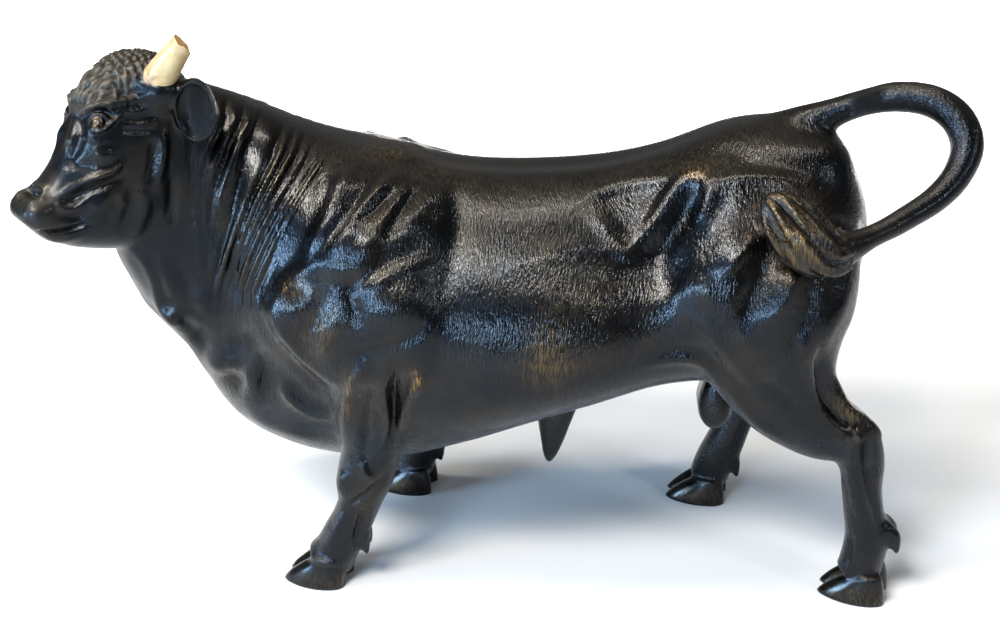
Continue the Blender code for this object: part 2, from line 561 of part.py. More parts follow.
class Skin:
    """The points of a closed mesh, which carving moves along the surface's normals."""

    def __init__(self, mesh):
        self.mesh = mesh
        points = np.empty(len(mesh.vertices) * 3)
        mesh.vertices.foreach_get("co", points)
        self.points = points.reshape(-1, 3)
        edges = np.empty(len(mesh.edges) * 2, int)
        mesh.edges.foreach_get("vertices", edges)
        self.edges = edges.reshape(-1, 2)
        self.count = np.bincount(self.edges.ravel(), minlength=len(self.points))[:, None]
        self.measure()

    def neighbours(self, values):
        """The mean of each point's neighbours."""
        total = np.zeros_like(values)
        for axis in range(values.shape[1]):
            for one, other in ((0, 1), (1, 0)):
                total[:, axis] += np.bincount(
                    self.edges[:, one], values[self.edges[:, other], axis], len(values)
                )
        return total / self.count

    def relax(self, rounds, hold):
        """Moves each point towards the middle of its neighbours, where it isn't held."""
        free = 0.5 * (1 - hold(self.points))[:, None]
        for _ in range(rounds):
            self.points = self.points + free * (self.neighbours(self.points) - self.points)
        self.measure()

    def soften(self, rounds, where):
        """Evens out the surface where it is 1, and leaves it where it is 0."""
        free = 0.5 * np.clip(where, 0, 1)[:, None]
        for _ in range(rounds):
            self.points = self.points + free * (self.neighbours(self.points) - self.points)

    def measure(self):
        """Renews the normals, the mirrored places and the reference pixels."""
        self.mesh.vertices.foreach_set("co", self.points.ravel())
        self.mesh.update()
        normals = np.empty(len(self.mesh.vertices) * 3)
        self.mesh.vertices.foreach_get("normal", normals)
        normals = normals.reshape(-1, 3)
        for _ in range(2):
            normals = 0.5 * (normals + self.neighbours(normals))
        self.normals = normals / np.linalg.norm(normals, axis=1)[:, None]
        self.left, self.left_normals = mirrored(self.points, self.normals)
        self.pixels = reference_pixels(self.left)
        to_eye = view_place()[0] - self.left
        to_eye /= np.linalg.norm(to_eye, axis=1)[:, None]
        self.facing = np.einsum("ij,ij->i", self.left_normals, to_eye)

    def push(self, amount):
        self.points = self.points + amount[:, None] * self.normals

    def mass(self, place, radii, height):
        """A rounded swelling, or a hollow where the height is negative."""
        reach = (self.points - np.array(place)) / np.array(radii)
        self.push(height * np.exp(-np.einsum("ij,ij->i", reach, reach)))

    def plate(self, outline, edge, height, where=1.0):
        """A raised plate, or a hollow where the height is negative, inside an outline."""
        corners = np.array(outline, float)
        low = corners.min(axis=0) - edge
        high = corners.max(axis=0) + edge
        near = np.all((self.pixels > low) & (self.pixels < high), axis=1)
        spots = self.pixels[near]
        gap = np.full(len(spots), np.inf)
        inside = np.zeros(len(spots), bool)
        for a, b in zip(corners, np.roll(corners, -1, axis=0)):
            run = b - a
            t = np.clip((spots - a) @ run / (run @ run), 0, 1)
            gap = np.minimum(gap, np.linalg.norm(spots - a - np.outer(t, run), axis=1))
            crosses = (a[1] > spots[:, 1]) != (b[1] > spots[:, 1])
            reach = a[0] + (spots[:, 1] - a[1]) * run[0] / (run[1] if run[1] else 1e-9)
            inside ^= crosses & (spots[:, 0] < reach)
        amount = np.zeros(len(self.points))
        amount[near] = height * fade(np.where(inside, gap, -gap), -edge, edge)
        self.push(amount * fade(self.facing, *FACING) * where)

    def knob(self, place, radii, turn, height, where=1.0, seen=FACING):
        """A rounded knob, or a hollow where the height is negative."""
        across, down = (self.pixels - np.array(place, float)).T
        turn = math.radians(turn)
        one = (across * math.cos(turn) + down * math.sin(turn)) / radii[0]
        other = (down * math.cos(turn) - across * math.sin(turn)) / radii[1]
        amount = height * np.exp(-((one**2 + other**2) ** 1.3))
        self.push(amount * fade(self.facing, *seen) * where)

    def line(self, pixels, width, height, where=1.0, seen=FACING):
        """A ridge, or a groove where the height is negative, along a line of pixels."""
        path = smooth_path(pixels, 6)
        low = path.min(axis=0) - 3 * width
        high = path.max(axis=0) + 3 * width
        near = np.all((self.pixels > low) & (self.pixels < high), axis=1)
        spots = self.pixels[near]
        best = np.full(len(spots), np.inf)
        share = np.zeros(len(spots))
        for i in range(len(path) - 1):
            run = path[i + 1] - path[i]
            t = np.clip((spots - path[i]) @ run / (run @ run), 0, 1)
            gap = np.linalg.norm(spots - path[i] - np.outer(t, run), axis=1)
            closer = gap < best
            best[closer] = gap[closer]
            share[closer] = (i + t[closer]) / (len(path) - 1)
        taper = np.sqrt(np.clip(1.15 * np.sin(math.pi * np.clip(share, 0.02, 0.98)), 0, 1))
        amount = np.zeros(len(self.points))
        amount[near] = height * taper * np.exp(-((best / width) ** 2))
        self.push(amount * fade(self.facing, *seen) * where)


def head_share(points):
    """1 on the head, 0 on the body."""
    return fade((points - HEAD_PIVOT) @ HEAD_FORWARD, 8, 16)


def mirrored(points, normals):
    """The same places and normals, with those of the right side moved to the left."""
    left = points.copy()
    turned = normals.copy()
    ridge = np.interp(points[:, 0], [-150, -118, -108, -94, -78], [-21, -21, -12, -5, 0])
    on_body = (head_share(points) < 0.5) & (points[:, 1] > ridge)
    left[on_body, 1] = 2 * ridge[on_body] - points[on_body, 1]
    turned[on_body, 1] *= -1
    aside = (points - HEAD_PIVOT) @ HEAD_LEFT
    on_head = (head_share(points) >= 0.5) & (aside < 0)
    left[on_head] -= 2 * np.outer(aside[on_head], HEAD_LEFT)
    turned[on_head] -= 2 * np.outer(normals[on_head] @ HEAD_LEFT, HEAD_LEFT)
    return left, turned


def bull_clay():
    """The whole figure as overlapping closed shapes."""
    clay = Clay()
    clay.trunk(TRUNK)
    clay.head(HEAD)
    for leg in (LEFT_FORELEG, RIGHT_FORELEG, LEFT_HINDLEG, RIGHT_HINDLEG, TAIL, SHEATH):
        clay.limb(leg)
    for hoof in HOOVES:
        clay.hoof(*hoof)
    for claw in DEWCLAWS:
        clay.dewclaws(*claw)
    turn = math.degrees(HEAD_TURN)
    clay.ball(head_point(27, 209), (16, 16.5, 11), turn=turn)
    clay.ball((-50, 0, 164), (30, 20, 14))
    clay.ball((-88, -1, 76), (20, 16, 20))
    for sign in (-1, 1):
        clay.ball((90.5, 4 * sign, 70), (8, 7, 13))
        clay.ball((92, 2.5 * sign, 84), (6.5, 6, 12))
        clay.ball(head_point(46.5, 194.5, 11 * sign), (6.5, 6, 6.5), turn=turn)
        clay.ball(head_point(36, 174, 9 * sign), (12, 8.5, 18), pitch=20, turn=turn)
        clay.ball(head_point(70.5, 165.8, 6.4 * sign), (7.5, 5.8, 5.8), turn=turn)
        ahead, height, aside = HORN_FOOT[sign]
        clay.ball(head_point(ahead, height - 5, (aside - 1.5) * sign), (9, 8.5, 8), turn=turn)
        clay.ball(head_point(13, 201, 18 * sign), (6, 8, 9), turn=turn)
        out = ear_way(sign)
        open_way = math.degrees(math.atan2(out[1], out[0]))
        clay.ball(head_point(*EAR_MIDDLE, EAR_ASIDE * sign), EAR_RADII, turn=open_way)
    return clay


def held(points):
    """How firmly each point keeps its place while the skin is relaxed."""
    x, y, z = points.T
    legs = 0.7 * fade(z, 78, 58)
    tail = 0.85 * fade(x, 138, 152) * (z > 120)
    tuft = 0.85 * (z > 147) * fade(y, -46, -50) * (x > 95)
    hooves = 0.93 * fade(z, 17, 13)
    head = 0.72 * fade((points - HEAD_PIVOT) @ HEAD_FORWARD, 22, 38)
    ear = 0.75 * fade(np.abs((points - HEAD_PIVOT) @ HEAD_LEFT), 18, 22) * fade(z, 178, 184)
    ear = ear * fade((points - HEAD_PIVOT) @ HEAD_FORWARD, 0, 4)
    low = 0.8 * fade(z, 64, 58) * (x > 14) * (x < 100)
    return np.maximum.reduce([legs, tail, tuft, hooves, head, ear, low])


def neck_folds(skin, folds, height, seed=3):
    """Upright folds of loose skin that fan out between the ears and the shoulder."""
    across, down = skin.pixels.T
    front = np.interp(down, [80, 120, 150, 200, 250, 300], [214, 214, 200, 180, 172, 170])
    back = np.interp(down, [80, 120, 157, 178, 203, 228, 260, 290], [362, 344, 331, 318, 303, 290, 277, 264])
    share = (across - front) / (back - front)
    noise = np.random.default_rng(seed)
    spaced = share + 0.035 * np.sin(7.1 * share + 0.6) + 0.016 * np.sin(17.0 * share + 2.0)
    phase = spaced * folds + 0.5
    for reach, amount in ((105.0, 0.34), (58.0, 0.2), (30.0, 0.12)):
        slow = down / reach + noise.uniform(0, 2 * math.pi)
        phase = phase + amount * np.sin(slow + share * noise.uniform(3, 7))
    fold = np.clip(np.floor(phase).astype(int), 0, int(folds) + 2)
    place = phase - np.floor(phase)
    ends = noise.uniform(0.0, 1.0, (int(folds) + 3, 3))
    strength = 0.75 + 0.4 * ends[:, 0]
    swell = 1 + 0.35 * np.sin(down / (26 + 20 * ends[fold, 1]) + 6.3 * ends[fold, 2])
    crease = np.sin(math.pi * place) ** 0.75 * strength[fold] * swell
    profile = crease - 0.6
    spread = fade(share, -0.05, 0.06) * fade(share, 1.05, 0.93)
    spread = spread * (0.35 + 0.65 * fade(down, 95, 160)) * fade(down, 322, 256)
    spread = spread * fade(skin.left_normals[:, 2], 0.97, 0.7)
    on_body = 1 - fade(head_share(skin.points), 0.2, 0.8)
    share = spread * on_body * fade(skin.facing, 0.1, 0.45)
    skin.push(height * profile * share)
    skin.soften(FOLD_ROUNDS, share)


def curl_patch(skin):
    """1 on the forehead and the poll, where the hair is curled."""
    local = skin.points - HEAD_PIVOT
    ahead = local @ HEAD_FORWARD
    aside = np.abs(local @ HEAD_LEFT)
    edge = 200 + 2.5 * fade(ahead, 30, 44) - 4 * fade(ahead, 44, 54)
    return fade(skin.points[:, 2], edge - 2, edge + 2) * fade(aside, 17, 13) * fade(ahead, 4, 10)


def curls(skin, size, height, seed=5):
    """Rounded curls over the forehead and the poll."""
    local = skin.points - HEAD_PIVOT
    ahead = local @ HEAD_FORWARD
    aside = local @ HEAD_LEFT
    tall = skin.points[:, 2]
    noise = np.random.default_rng(seed)
    along = np.where(ahead < 40, ahead, 40 + (216 - tall) * 0.6)
    patch = curl_patch(skin)
    amount = np.zeros(len(tall))
    for row in range(-1, 16):
        for column in range(-7, 8):
            spot_along = 4 + row * size + noise.uniform(-0.25, 0.25) * size
            spot_aside = (column + 0.5 * (row % 2)) * size + noise.uniform(-0.25, 0.25) * size
            gap = np.hypot(along - spot_along, aside - spot_aside) / size
            lump = np.exp(-((gap / 0.42) ** 2)) - 0.5 * np.exp(-(((gap - 0.62) / 0.16) ** 2))
            amount += lump * (gap < 1.2)
    skin.push(height * amount * patch)


def eyes(skin):
    """The ball of each eye in its socket, and the nostrils beside the muzzle."""
    across, down = skin.pixels.T
    seen = fade(skin.facing, 0.0, 0.3) * (head_share(skin.points) > 0.5)
    gap = np.hypot((across - 97) / 1.2, down - 122.5)
    socket = -1.7 * np.exp(-((gap / 10.5) ** 4))
    ball = 1.9 * np.sqrt(np.clip(1 - (gap / 7.2) ** 2, 0, 1))
    gap = np.hypot(across - 96, down - 122.5)
    ring = -0.4 * np.exp(-(((gap - 5.0) / 0.8) ** 2))
    pupil = -0.6 * np.exp(-((gap / 1.7) ** 2))
    skin.push(seen * (socket + ball + ring + pupil))
    along = (across - 33) * 0.93 - (down - 195) * 0.36
    beside = (across - 33) * 0.36 + (down - 195) * 0.93
    gap = np.hypot(along / 1.8, beside)
    rim = 0.7 * np.exp(-(((gap - 6.4) / 2.6) ** 2))
    skin.push(seen * fade(skin.facing, 0.25, 0.5) * (rim - 2.4 * np.exp(-((gap / 3.9) ** 4))))
    skin.soften(2, seen * fade(gap, 10, 6))


def ear_way(sign):
    """The direction in which an ear opens, between ahead and its own side."""
    out = 0.62 * HEAD_FORWARD + 0.78 * sign * HEAD_LEFT
    return out / np.linalg.norm(out)


def ears(skin):
    """Each ear is cupped, open ahead and to its own side."""
    for sign in (-1, 1):
        middle = head_point(*EAR_MIDDLE, EAR_ASIDE * sign)
        out = ear_way(sign)
        across = np.cross(UP, out)
        local = skin.points - middle
        a = (local @ across) / (EAR_RADII[1] - 1.5)
        b = (local @ UP) / (EAR_RADII[2] - 2.2)
        open_side = fade(local @ out, -1.5, 1.5)
        depth = np.clip(1 - a**2 - b**2, 0, 1) ** 0.6
        skin.points = skin.points - np.outer(5.2 * depth * open_side, out)


def tuft_locks(skin, height):
    """Locks that wind along the tuft at the end of the tail."""
    route = smooth_path(TAIL, 6)[:, :3]
    lengths = np.r_[0, np.cumsum(np.linalg.norm(np.diff(route, axis=0), axis=1))]
    near = (skin.points[:, 0] > 92) & (skin.points[:, 0] < 132) & (skin.points[:, 1] < -42)
    near = near & (skin.points[:, 2] > 140) & (skin.points[:, 2] < 182)
    spots = skin.points[near]
    gaps = np.linalg.norm(spots[:, None, :] - route[None, :, :], axis=2)
    nearest = gaps.argmin(axis=1)
    run = np.gradient(route, axis=0)[nearest]
    run = run / np.linalg.norm(run, axis=1)[:, None]
    side = np.cross(run, np.array([0.0, 1.0, 0.0]))
    side = side / np.linalg.norm(side, axis=1)[:, None]
    rise = np.cross(side, run)
    away = spots - route[nearest]
    across = np.einsum("ij,ij->i", away, side)
    toward = np.einsum("ij,ij->i", away, rise)
    along = lengths[nearest] - lengths[-1]
    turn = np.arctan2(toward, across)
    wave = np.cos(7 * turn + 0.16 * along + 0.9 * np.sin(0.2 * along))
    fine = np.cos(16 * turn + 0.3 * along)
    amount = np.zeros(len(skin.points))
    amount[near] = (wave + 0.3 * fine) * fade(along, -46, -36) * fade(along, 0.5, -5)
    amount[near] *= fade(gaps.min(axis=1), 12.0, 10.0)
    on_tuft = fade(skin.points[:, 1], -44, -47)
    skin.push(height * amount * on_tuft)


def carve(skin, folds, fine):
    """Raises and presses all the forms that show from a step away."""
    for x, y, z, long, wide, tall, height in MASSES:
        for sign in (-1, 1):
            skin.mass((x, y * sign, z), (long, wide, tall), height)
    skin.measure()
    x, y, z = skin.points.T
    on_body = fade(z, 66, 78) * (1 - head_share(skin.points))
    off_tail = fade(x, 152, 146)
    tuft_reach = (skin.points - np.array([111.0, -53.5, 163.0])) / np.array([18.0, 9.0, 18.0])
    off_tail = off_tail * fade(np.linalg.norm(tuft_reach, axis=1), 0.9, 1.1)
    side = on_body * off_tail * fade(skin.left_normals[:, 2], 0.97, 0.8)
    for plate in PLATES:
        skin.plate(*plate, where=side)
    for knob in KNOBS:
        skin.knob(*knob, where=side)
    skin.measure()
    for line in SHOULDER_LINES + FLANK_LINES:
        skin.line(*line, where=side)
    skin.soften(SOFTEN_ROUNDS, side)
    skin.measure()
    on_chest = fade(x, -50, -60) * fade(z, 149, 138)
    for knob in CHEST_KNOBS:
        skin.knob(*knob, where=on_chest, seen=CHEST_FACING)
    skin.measure()
    for line in BRISKET_LINES:
        skin.line(*line, where=on_chest, seen=CHEST_FACING)
    near_leg = fade(y, -18, -24)
    for line in FORE_LEG_LINES + HIND_LEG_LINES:
        skin.line(*line, where=near_leg)
    on_head = head_share(skin.points)
    for line in FACE_LINES:
        skin.line(*line, where=on_head)
    neck_folds(skin, folds, 2.9)
    eyes(skin)
    curls(skin, fine, 0.8)
    ears(skin)
    tuft_locks(skin, 0.8)
    skin.measure()


def decimated(mesh, triangles):
    """The same surface with fewer triangles, most of them where it bends most."""
    obj = bpy.data.objects.new("dense", mesh)
    bpy.context.scene.collection.objects.link(obj)
    mesh.update()
    now = sum(len(face.vertices) - 2 for face in mesh.polygons)
    thin = obj.modifiers.new("thin", "DECIMATE")
    thin.ratio = triangles / now
    thin.use_collapse_triangulate = True
    light = evaluated_mesh(obj)
    bpy.data.objects.remove(obj)
    return light


def drop_crumbs(cut):
    """Deletes every loose crumb of surface beside the one large one."""
    unseen = set(cut.verts)
    pieces = []
    while unseen:
        edge_of_piece = [unseen.pop()]
        piece = set(edge_of_piece)
        while edge_of_piece:
            vert = edge_of_piece.pop()
            for edge in vert.link_edges:
                other = edge.other_vert(vert)
                if other not in piece:
                    piece.add(other)
                    edge_of_piece.append(other)
        unseen -= piece
        pieces.append(piece)
    pieces.sort(key=len)
    for piece in pieces[:-1]:
        if len(piece) < 20:
            bmesh.ops.delete(cut, geom=list(piece), context="VERTS")


def flat_soles(mesh):
    """Cuts the hooves off flat at the ground."""
    cut = bmesh.new()
    cut.from_mesh(mesh)
    drop_crumbs(cut)
    for vert in cut.verts:
        if abs(vert.co.z) < 0.35:
            vert.co.z = 0.0
    every = cut.verts[:] + cut.edges[:] + cut.faces[:]
    bmesh.ops.bisect_plane(
        cut, geom=every, dist=1e-5, plane_co=(0, 0, 0), plane_no=(0, 0, 1), clear_inner=True
    )
    rim = [edge for edge in cut.edges if edge.is_boundary]
    bmesh.ops.holes_fill(cut, edges=rim, sides=0)
    bmesh.ops.triangulate(cut, faces=cut.faces)
    bmesh.ops.recalc_face_normals(cut, faces=cut.faces)
    cut.to_mesh(mesh)
    cut.free()
    mesh.update()


def horn_frame(sign):
    """The middle of a horn's foot and its direction, on the left or the right side."""
    ahead, height, aside = HORN_FOOT[sign]
    foot = head_point(ahead, height, aside * sign)
    back, rise, out = HORN_LEAN[sign]
    lean = back * HEAD_FORWARD + rise * UP + out * sign * HEAD_LEFT
    return foot, lean / np.linalg.norm(lean)


def horn_mesh(name, length, sign):
    """A horn set in its socket by a peg and broken off obliquely at its end."""
    foot, lean = horn_frame(sign)
    noise = np.random.default_rng(11 + sign)
    tip = HORN_BASE_RADIUS + (HORN_TIP_RADIUS - HORN_BASE_RADIUS) * length / HORN_LENGTH
    peg = HORN_BASE_RADIUS
    rows = [(-HORN_PEG_DEPTH, peg), (0.0, peg), (0.0016, HORN_BASE_RADIUS)]
    for share in np.linspace(0.3, 1.0, 4):
        rows.append((length * share, HORN_BASE_RADIUS + (tip - HORN_BASE_RADIUS) * share))
    across = np.cross(lean, HEAD_FORWARD)
    across /= np.linalg.norm(across)
    beside = np.cross(lean, across)
    mesh = bmesh.new()
    loops = []
    count = 22
    for step, (along, radius) in enumerate(rows):
        loop = []
        for i in range(count):
            angle = 2 * math.pi * i / count
            slant = 0.0
            if step == len(rows) - 1:
                slant = min(-BREAK_SLANT * radius * math.sin(angle), BREAK_TOP * radius)
                slant += noise.uniform(-1, 1) * 0.0002
            bend = 0.0018 * (along / HORN_LENGTH) ** 2 if along > 0 else 0.0
            place = Vector(foot * SHARE) + Vector(lean) * (along + slant)
            place += Vector(across) * (math.cos(angle) * radius + bend)
            place += Vector(beside) * (math.sin(angle) * radius)
            loop.append(mesh.verts.new(place))
        loops.append(loop)
    for low, high in zip(loops, loops[1:]):
        for i in range(count):
            j = (i + 1) % count
            mesh.faces.new((low[i], low[j], high[j], high[i]))
    mesh.faces.new(loops[0][::-1])
    mesh.faces.new(loops[-1])
    bmesh.ops.recalc_face_normals(mesh, faces=mesh.faces)
    data = bpy.data.meshes.new(name)
    mesh.to_mesh(data)
    mesh.free()
    return data


def socket_cutter(sign):
    """A hidden round cutter for a horn's socket, wider than the peg by the clearance."""
    foot, lean = horn_frame(sign)
    above = 0.02
    depth = HORN_PEG_DEPTH + SOCKET_CLEARANCE
    radius = HORN_BASE_RADIUS + SOCKET_CLEARANCE
    middle = Vector(foot * SHARE) + Vector(lean) * (above - depth) / 2
    turn = Vector(lean).to_track_quat("Z", "Y").to_matrix().to_4x4()
    mesh = bmesh.new()
    bmesh.ops.create_cone(
        mesh,
        cap_ends=True,
        segments=22,
        radius1=radius,
        radius2=radius,
        depth=above + depth,
        matrix=Matrix.Translation(middle) @ turn,
    )
    name = "socket_cutter_left" if sign > 0 else "socket_cutter_right"
    data = bpy.data.meshes.new(name)
    mesh.to_mesh(data)
    mesh.free()
    cutter = bpy.data.objects.new(name, data)
    bpy.context.scene.collection.objects.link(cutter)
    cutter.hide_render = True
    cutter.display_type = "WIRE"
    return cutter


def material(name, colour, roughness, metallic):
    made = bpy.data.materials.new(name)
    made.use_nodes = True
    shader = made.node_tree.nodes["Principled BSDF"]
    shader.inputs["Base Color"].default_value = (*colour, 1.0)
    shader.inputs["Roughness"].default_value = roughness
    shader.inputs["Metallic"].default_value = metallic
    return made


def placed(name, mesh, slot):
    obj = bpy.data.objects.new(name, mesh)
    bpy.context.scene.collection.objects.link(obj)
    mesh.materials.clear()
    mesh.materials.append(slot)
    return obj


def cast_body():
    """The bronze casting, in metres, before its sockets are cut."""
    mesh = bull_clay().fused(SKIN_STEP)
    skin = Skin(mesh)
    skin.relax(RELAX_ROUNDS, held)
    carve(skin, NECK_FOLDS, CURL_SIZE)
    light = decimated(mesh, BODY_TRIANGLES)
    flat_soles(light)
    light.transform(Matrix.Scale(SHARE, 4))
    return light


def build():
    for obj in list(bpy.data.objects):
        bpy.data.objects.remove(obj)
    bronze = material("bronze", (0.028, 0.027, 0.026), 0.32, 0.85)
    horn = material("horn", (0.72, 0.62, 0.42), 0.5, 0.0)
    body = placed("cast_bull", cast_body(), bronze)
    corners = np.array(body.bound_box)
    middle = (corners.min(axis=0) + corners.max(axis=0)) / 2
    for sign in (1, -1):
        cutter = socket_cutter(sign)
        bore = body.modifiers.new(cutter.name, "BOOLEAN")
        bore.operation = "DIFFERENCE"
        bore.solver = "EXACT"
        bore.object = cutter
    placed("horn_left", horn_mesh("horn_left", HORN_LENGTH, 1), horn)
    placed("horn_stump_right", horn_mesh("horn_stump_right", HORN_STUMP_LENGTH, -1), horn)
    # The origin is under the middle of the whole, at the height of the soles.
    for obj in bpy.data.objects:
        obj.location = (-middle[0], -middle[1], 0)
    bpy.context.view_layer.update()
    return body


if __name__ == "__main__":
    build()
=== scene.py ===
"""The looks of a cast bronze bull with bone horns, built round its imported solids.

The figure is modelled again like clay, as its solids are, but finely: lofted limbs and
rounded masses are fused into one skin, the skin is relaxed, and muscles, folds, curls and
locks are raised from it. Lengths are shares, 1 mm at the real size, until the end.
"""

import math

import bmesh
import bpy
import numpy as np
from mathutils import Matrix, Vector


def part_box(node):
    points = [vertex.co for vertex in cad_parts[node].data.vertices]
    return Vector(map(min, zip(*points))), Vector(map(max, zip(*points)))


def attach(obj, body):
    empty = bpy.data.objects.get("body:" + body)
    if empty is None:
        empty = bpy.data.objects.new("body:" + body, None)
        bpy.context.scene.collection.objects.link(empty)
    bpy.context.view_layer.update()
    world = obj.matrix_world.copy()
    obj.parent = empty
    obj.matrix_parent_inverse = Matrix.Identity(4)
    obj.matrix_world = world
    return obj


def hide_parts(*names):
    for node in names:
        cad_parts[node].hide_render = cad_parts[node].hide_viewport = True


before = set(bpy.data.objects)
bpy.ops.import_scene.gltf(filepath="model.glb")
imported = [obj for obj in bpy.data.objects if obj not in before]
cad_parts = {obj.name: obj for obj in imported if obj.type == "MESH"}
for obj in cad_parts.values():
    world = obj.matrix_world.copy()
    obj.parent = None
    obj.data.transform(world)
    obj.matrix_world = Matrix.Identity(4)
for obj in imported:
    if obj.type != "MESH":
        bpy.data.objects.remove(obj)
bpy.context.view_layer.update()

# Driving dimensions, in metres.
LENGTH = 0.364
HORN_BASE_RADIUS = 0.0063
HORN_TIP_RADIUS = 0.0041
HORN_LENGTH = 0.0185
HORN_STUMP_LENGTH = 0.0022

# The broken end of a horn: its slant and the height of its blunt top, in shares of the radius.
BREAK_SLANT = 0.6
BREAK_TOP = 0.3

# The figure's pose and carving are shares of its length, and one share is this long.
SHARE = LENGTH / 364.0

# Fineness of the fused skin, in shares, and the triangles kept in the cast body.
SKIN_STEP = 0.7
RELAX_ROUNDS = 104
SOFTEN_ROUNDS = 15
BODY_TRIANGLES = 195000
NECK_FOLDS = 9.5
CURL_SIZE = 2.8
CURL_HEIGHT = 0.8
LOCK_HEIGHT = 0.8
FOLD_HEIGHT = 2.9
FOLD_ROUNDS = 5

# How far a surface faces the reference view where carving starts and where it is whole.
FACING = (0.05, 0.35)
CHEST_FACING = (0.0, 0.25)

# The reference view: its size and focal length in pixels, its place in shares.
VIEW_WIDTH = 1000
VIEW_HEIGHT = 638
VIEW_FOCAL = 1490
VIEW_DISTANCE = 620
VIEW_AZIMUTH = math.radians(3.5)
VIEW_ELEVATION = math.radians(22)
VIEW_TARGET = np.array([0.0, 0.0, 103.0])

# The middle line of the neck, which curves to the left towards the head: x and y.
NECK_MIDDLE = ([-150, -118, -108, -94, -78], [-21, -21, -12, -5, 0])

# The head's turn, and the frame that its own points are given in.
HEAD_TURN = math.radians(39)
HEAD_PIVOT = np.array([-115.0, -12.0, 0.0])
HEAD_FORWARD = np.array([-math.cos(HEAD_TURN), -math.sin(HEAD_TURN), 0.0])
HEAD_LEFT = np.array([math.sin(HEAD_TURN), -math.cos(HEAD_TURN), 0.0])
UP = np.array([0.0, 0.0, 1.0])

# The left eye and nostril in reference pixels.
EYE = (97, 122.5)
IRIS = (96, 122.5)
NOSTRIL = (33, 195)

# Ears in the head's frame: ahead and height of the middle, how far aside, and the radii
# through the ear, across it and up it.
EAR_MIDDLE = (14.0, 199.8)
EAR_ASIDE = 24.0
EAR_RADII = (5.0, 8.4, 12.9)

# Horns in the head's frame: ahead, height and aside of the foot, and their direction.
HORN_FOOT = {1: (23.5, 211.8, 15.5), -1: (21.5, 209.5, 17.0)}
HORN_LEAN = {1: (-0.3, 0.8, 0.52), -1: (-0.2, 0.72, 0.66)}

# Sections of the trunk: top x, top z, bottom x, bottom z, middle y, half width, turn, pear.
TRUNK = [
    (146, 155, 143, 129, 0, 13, 0, 0.0),
    (141.5, 169, 135, 110, 0, 26, 0, -0.1),
    (132, 184, 123, 96, 0, 36, 0, -0.2),
    (113, 191.5, 108, 88, 0, 42, 0, -0.25),
    (90, 189, 90, 87, 0, 46, 0, -0.25),
    (66, 180, 66, 84, 0, 46, 0, -0.3),
    (42, 174, 42, 77, 0, 51, 0, -0.28),
    (14, 171, 14, 68, 0, 55, 0, -0.25),
    (-14, 171, -12, 57, 0, 55, 0, -0.2),
    (-38, 174.5, -40, 46.5, 0, 50, 0, -0.1),
    (-60, 179.5, -70, 46, 0, 44, 0, 0.02),
    (-78, 185.5, -103, 57, -1, 39, 0.08, 0.12),
    (-94, 193.2, -122, 80.5, -5, 33, 0.25, 0.12),
    (-107, 200, -136, 103, -12, 27, 0.45, 0.05),
    (-117, 205, -145.5, 123.5, -19, 22.5, 0.6, 0.0),
    (-125, 207, -149.5, 140, -26, 18, 0.68, 0.0),
    (-134, 203, -148, 158, -32, 12, 0.68, 0.0),
]

# Sections of the head: ahead and height of the top, then of the bottom, half width, pear.
HEAD = [
    (8, 209, 24, 149, 18.0, 0.0),
    (21, 217, 35, 145, 18.5, 0.0),
    (36, 217.5, 43, 145, 17.5, 0.0),
    (48, 209, 50, 146.5, 16.5, -0.03),
    (53.5, 196.5, 55.5, 148, 14.5, -0.1),
    (58.3, 187, 60, 149.5, 12.2, -0.15),
    (64.2, 179.6, 64, 151.5, 11.4, -0.1),
    (70, 172.8, 68.5, 153.5, 11.8, -0.05),
    (75.5, 168.8, 72, 157, 11.6, 0.0),
    (79, 165, 75.5, 161, 8.4, 0.0),
]

# Limbs: x, y, z, fore-and-aft radius, sideways radius.
LEFT_FORELEG = [
    (-55, -28, 132, 26, 14),
    (-52, -34, 107, 22, 15),
    (-46.5, -38, 89, 18, 13.5),
    (-47.5, -39, 75, 15.4, 12),
    (-49.5, -39.5, 61, 11.8, 10.5),
    (-52.5, -40, 48.5, 11.6, 10.6),
    (-54.5, -40, 39.5, 9.2, 8.8),
    (-58, -39.5, 30, 8.8, 8.4),
    (-62, -39, 22, 9.2, 9.0),
    (-66, -38.5, 14, 9.4, 9.4),
    (-69, -38, 9, 11, 9),
]
RIGHT_FORELEG = [
    (-50, 28, 132, 26, 14),
    (-44, 34, 107, 22, 15),
    (-36.5, 38, 89, 17, 13.5),
    (-35.5, 40, 75, 14, 12),
    (-35, 42, 61, 11.5, 10.5),
    (-35.5, 43.5, 49, 10.8, 10.4),
    (-36, 44, 40, 8.6, 8.8),
    (-37, 44.5, 30, 8.2, 8.4),
    (-39, 44.5, 22, 8.8, 8.8),
    (-42, 45.2, 14, 9.2, 9),
    (-44, 45.5, 9, 9.4, 9),
]
LEFT_HINDLEG = [
    (108.5, -24, 157, 31.5, 16),
    (106.5, -33, 130, 32, 17),
    (107, -37, 110, 27.5, 16),
    (114, -39, 92, 21.5, 14),
    (127, -39.5, 79, 16, 11),
    (141, -39.5, 71.5, 12, 9.2),
    (146, -39.5, 61.5, 9.4, 8.4),
    (147, -39.5, 51, 8.2, 7.8),
    (149, -38.5, 39, 8.2, 7.8),
    (151.5, -37.5, 28, 9, 8.4),
    (151, -36.5, 18, 9, 8.6),
    (149.5, -36, 10, 9, 8),
]
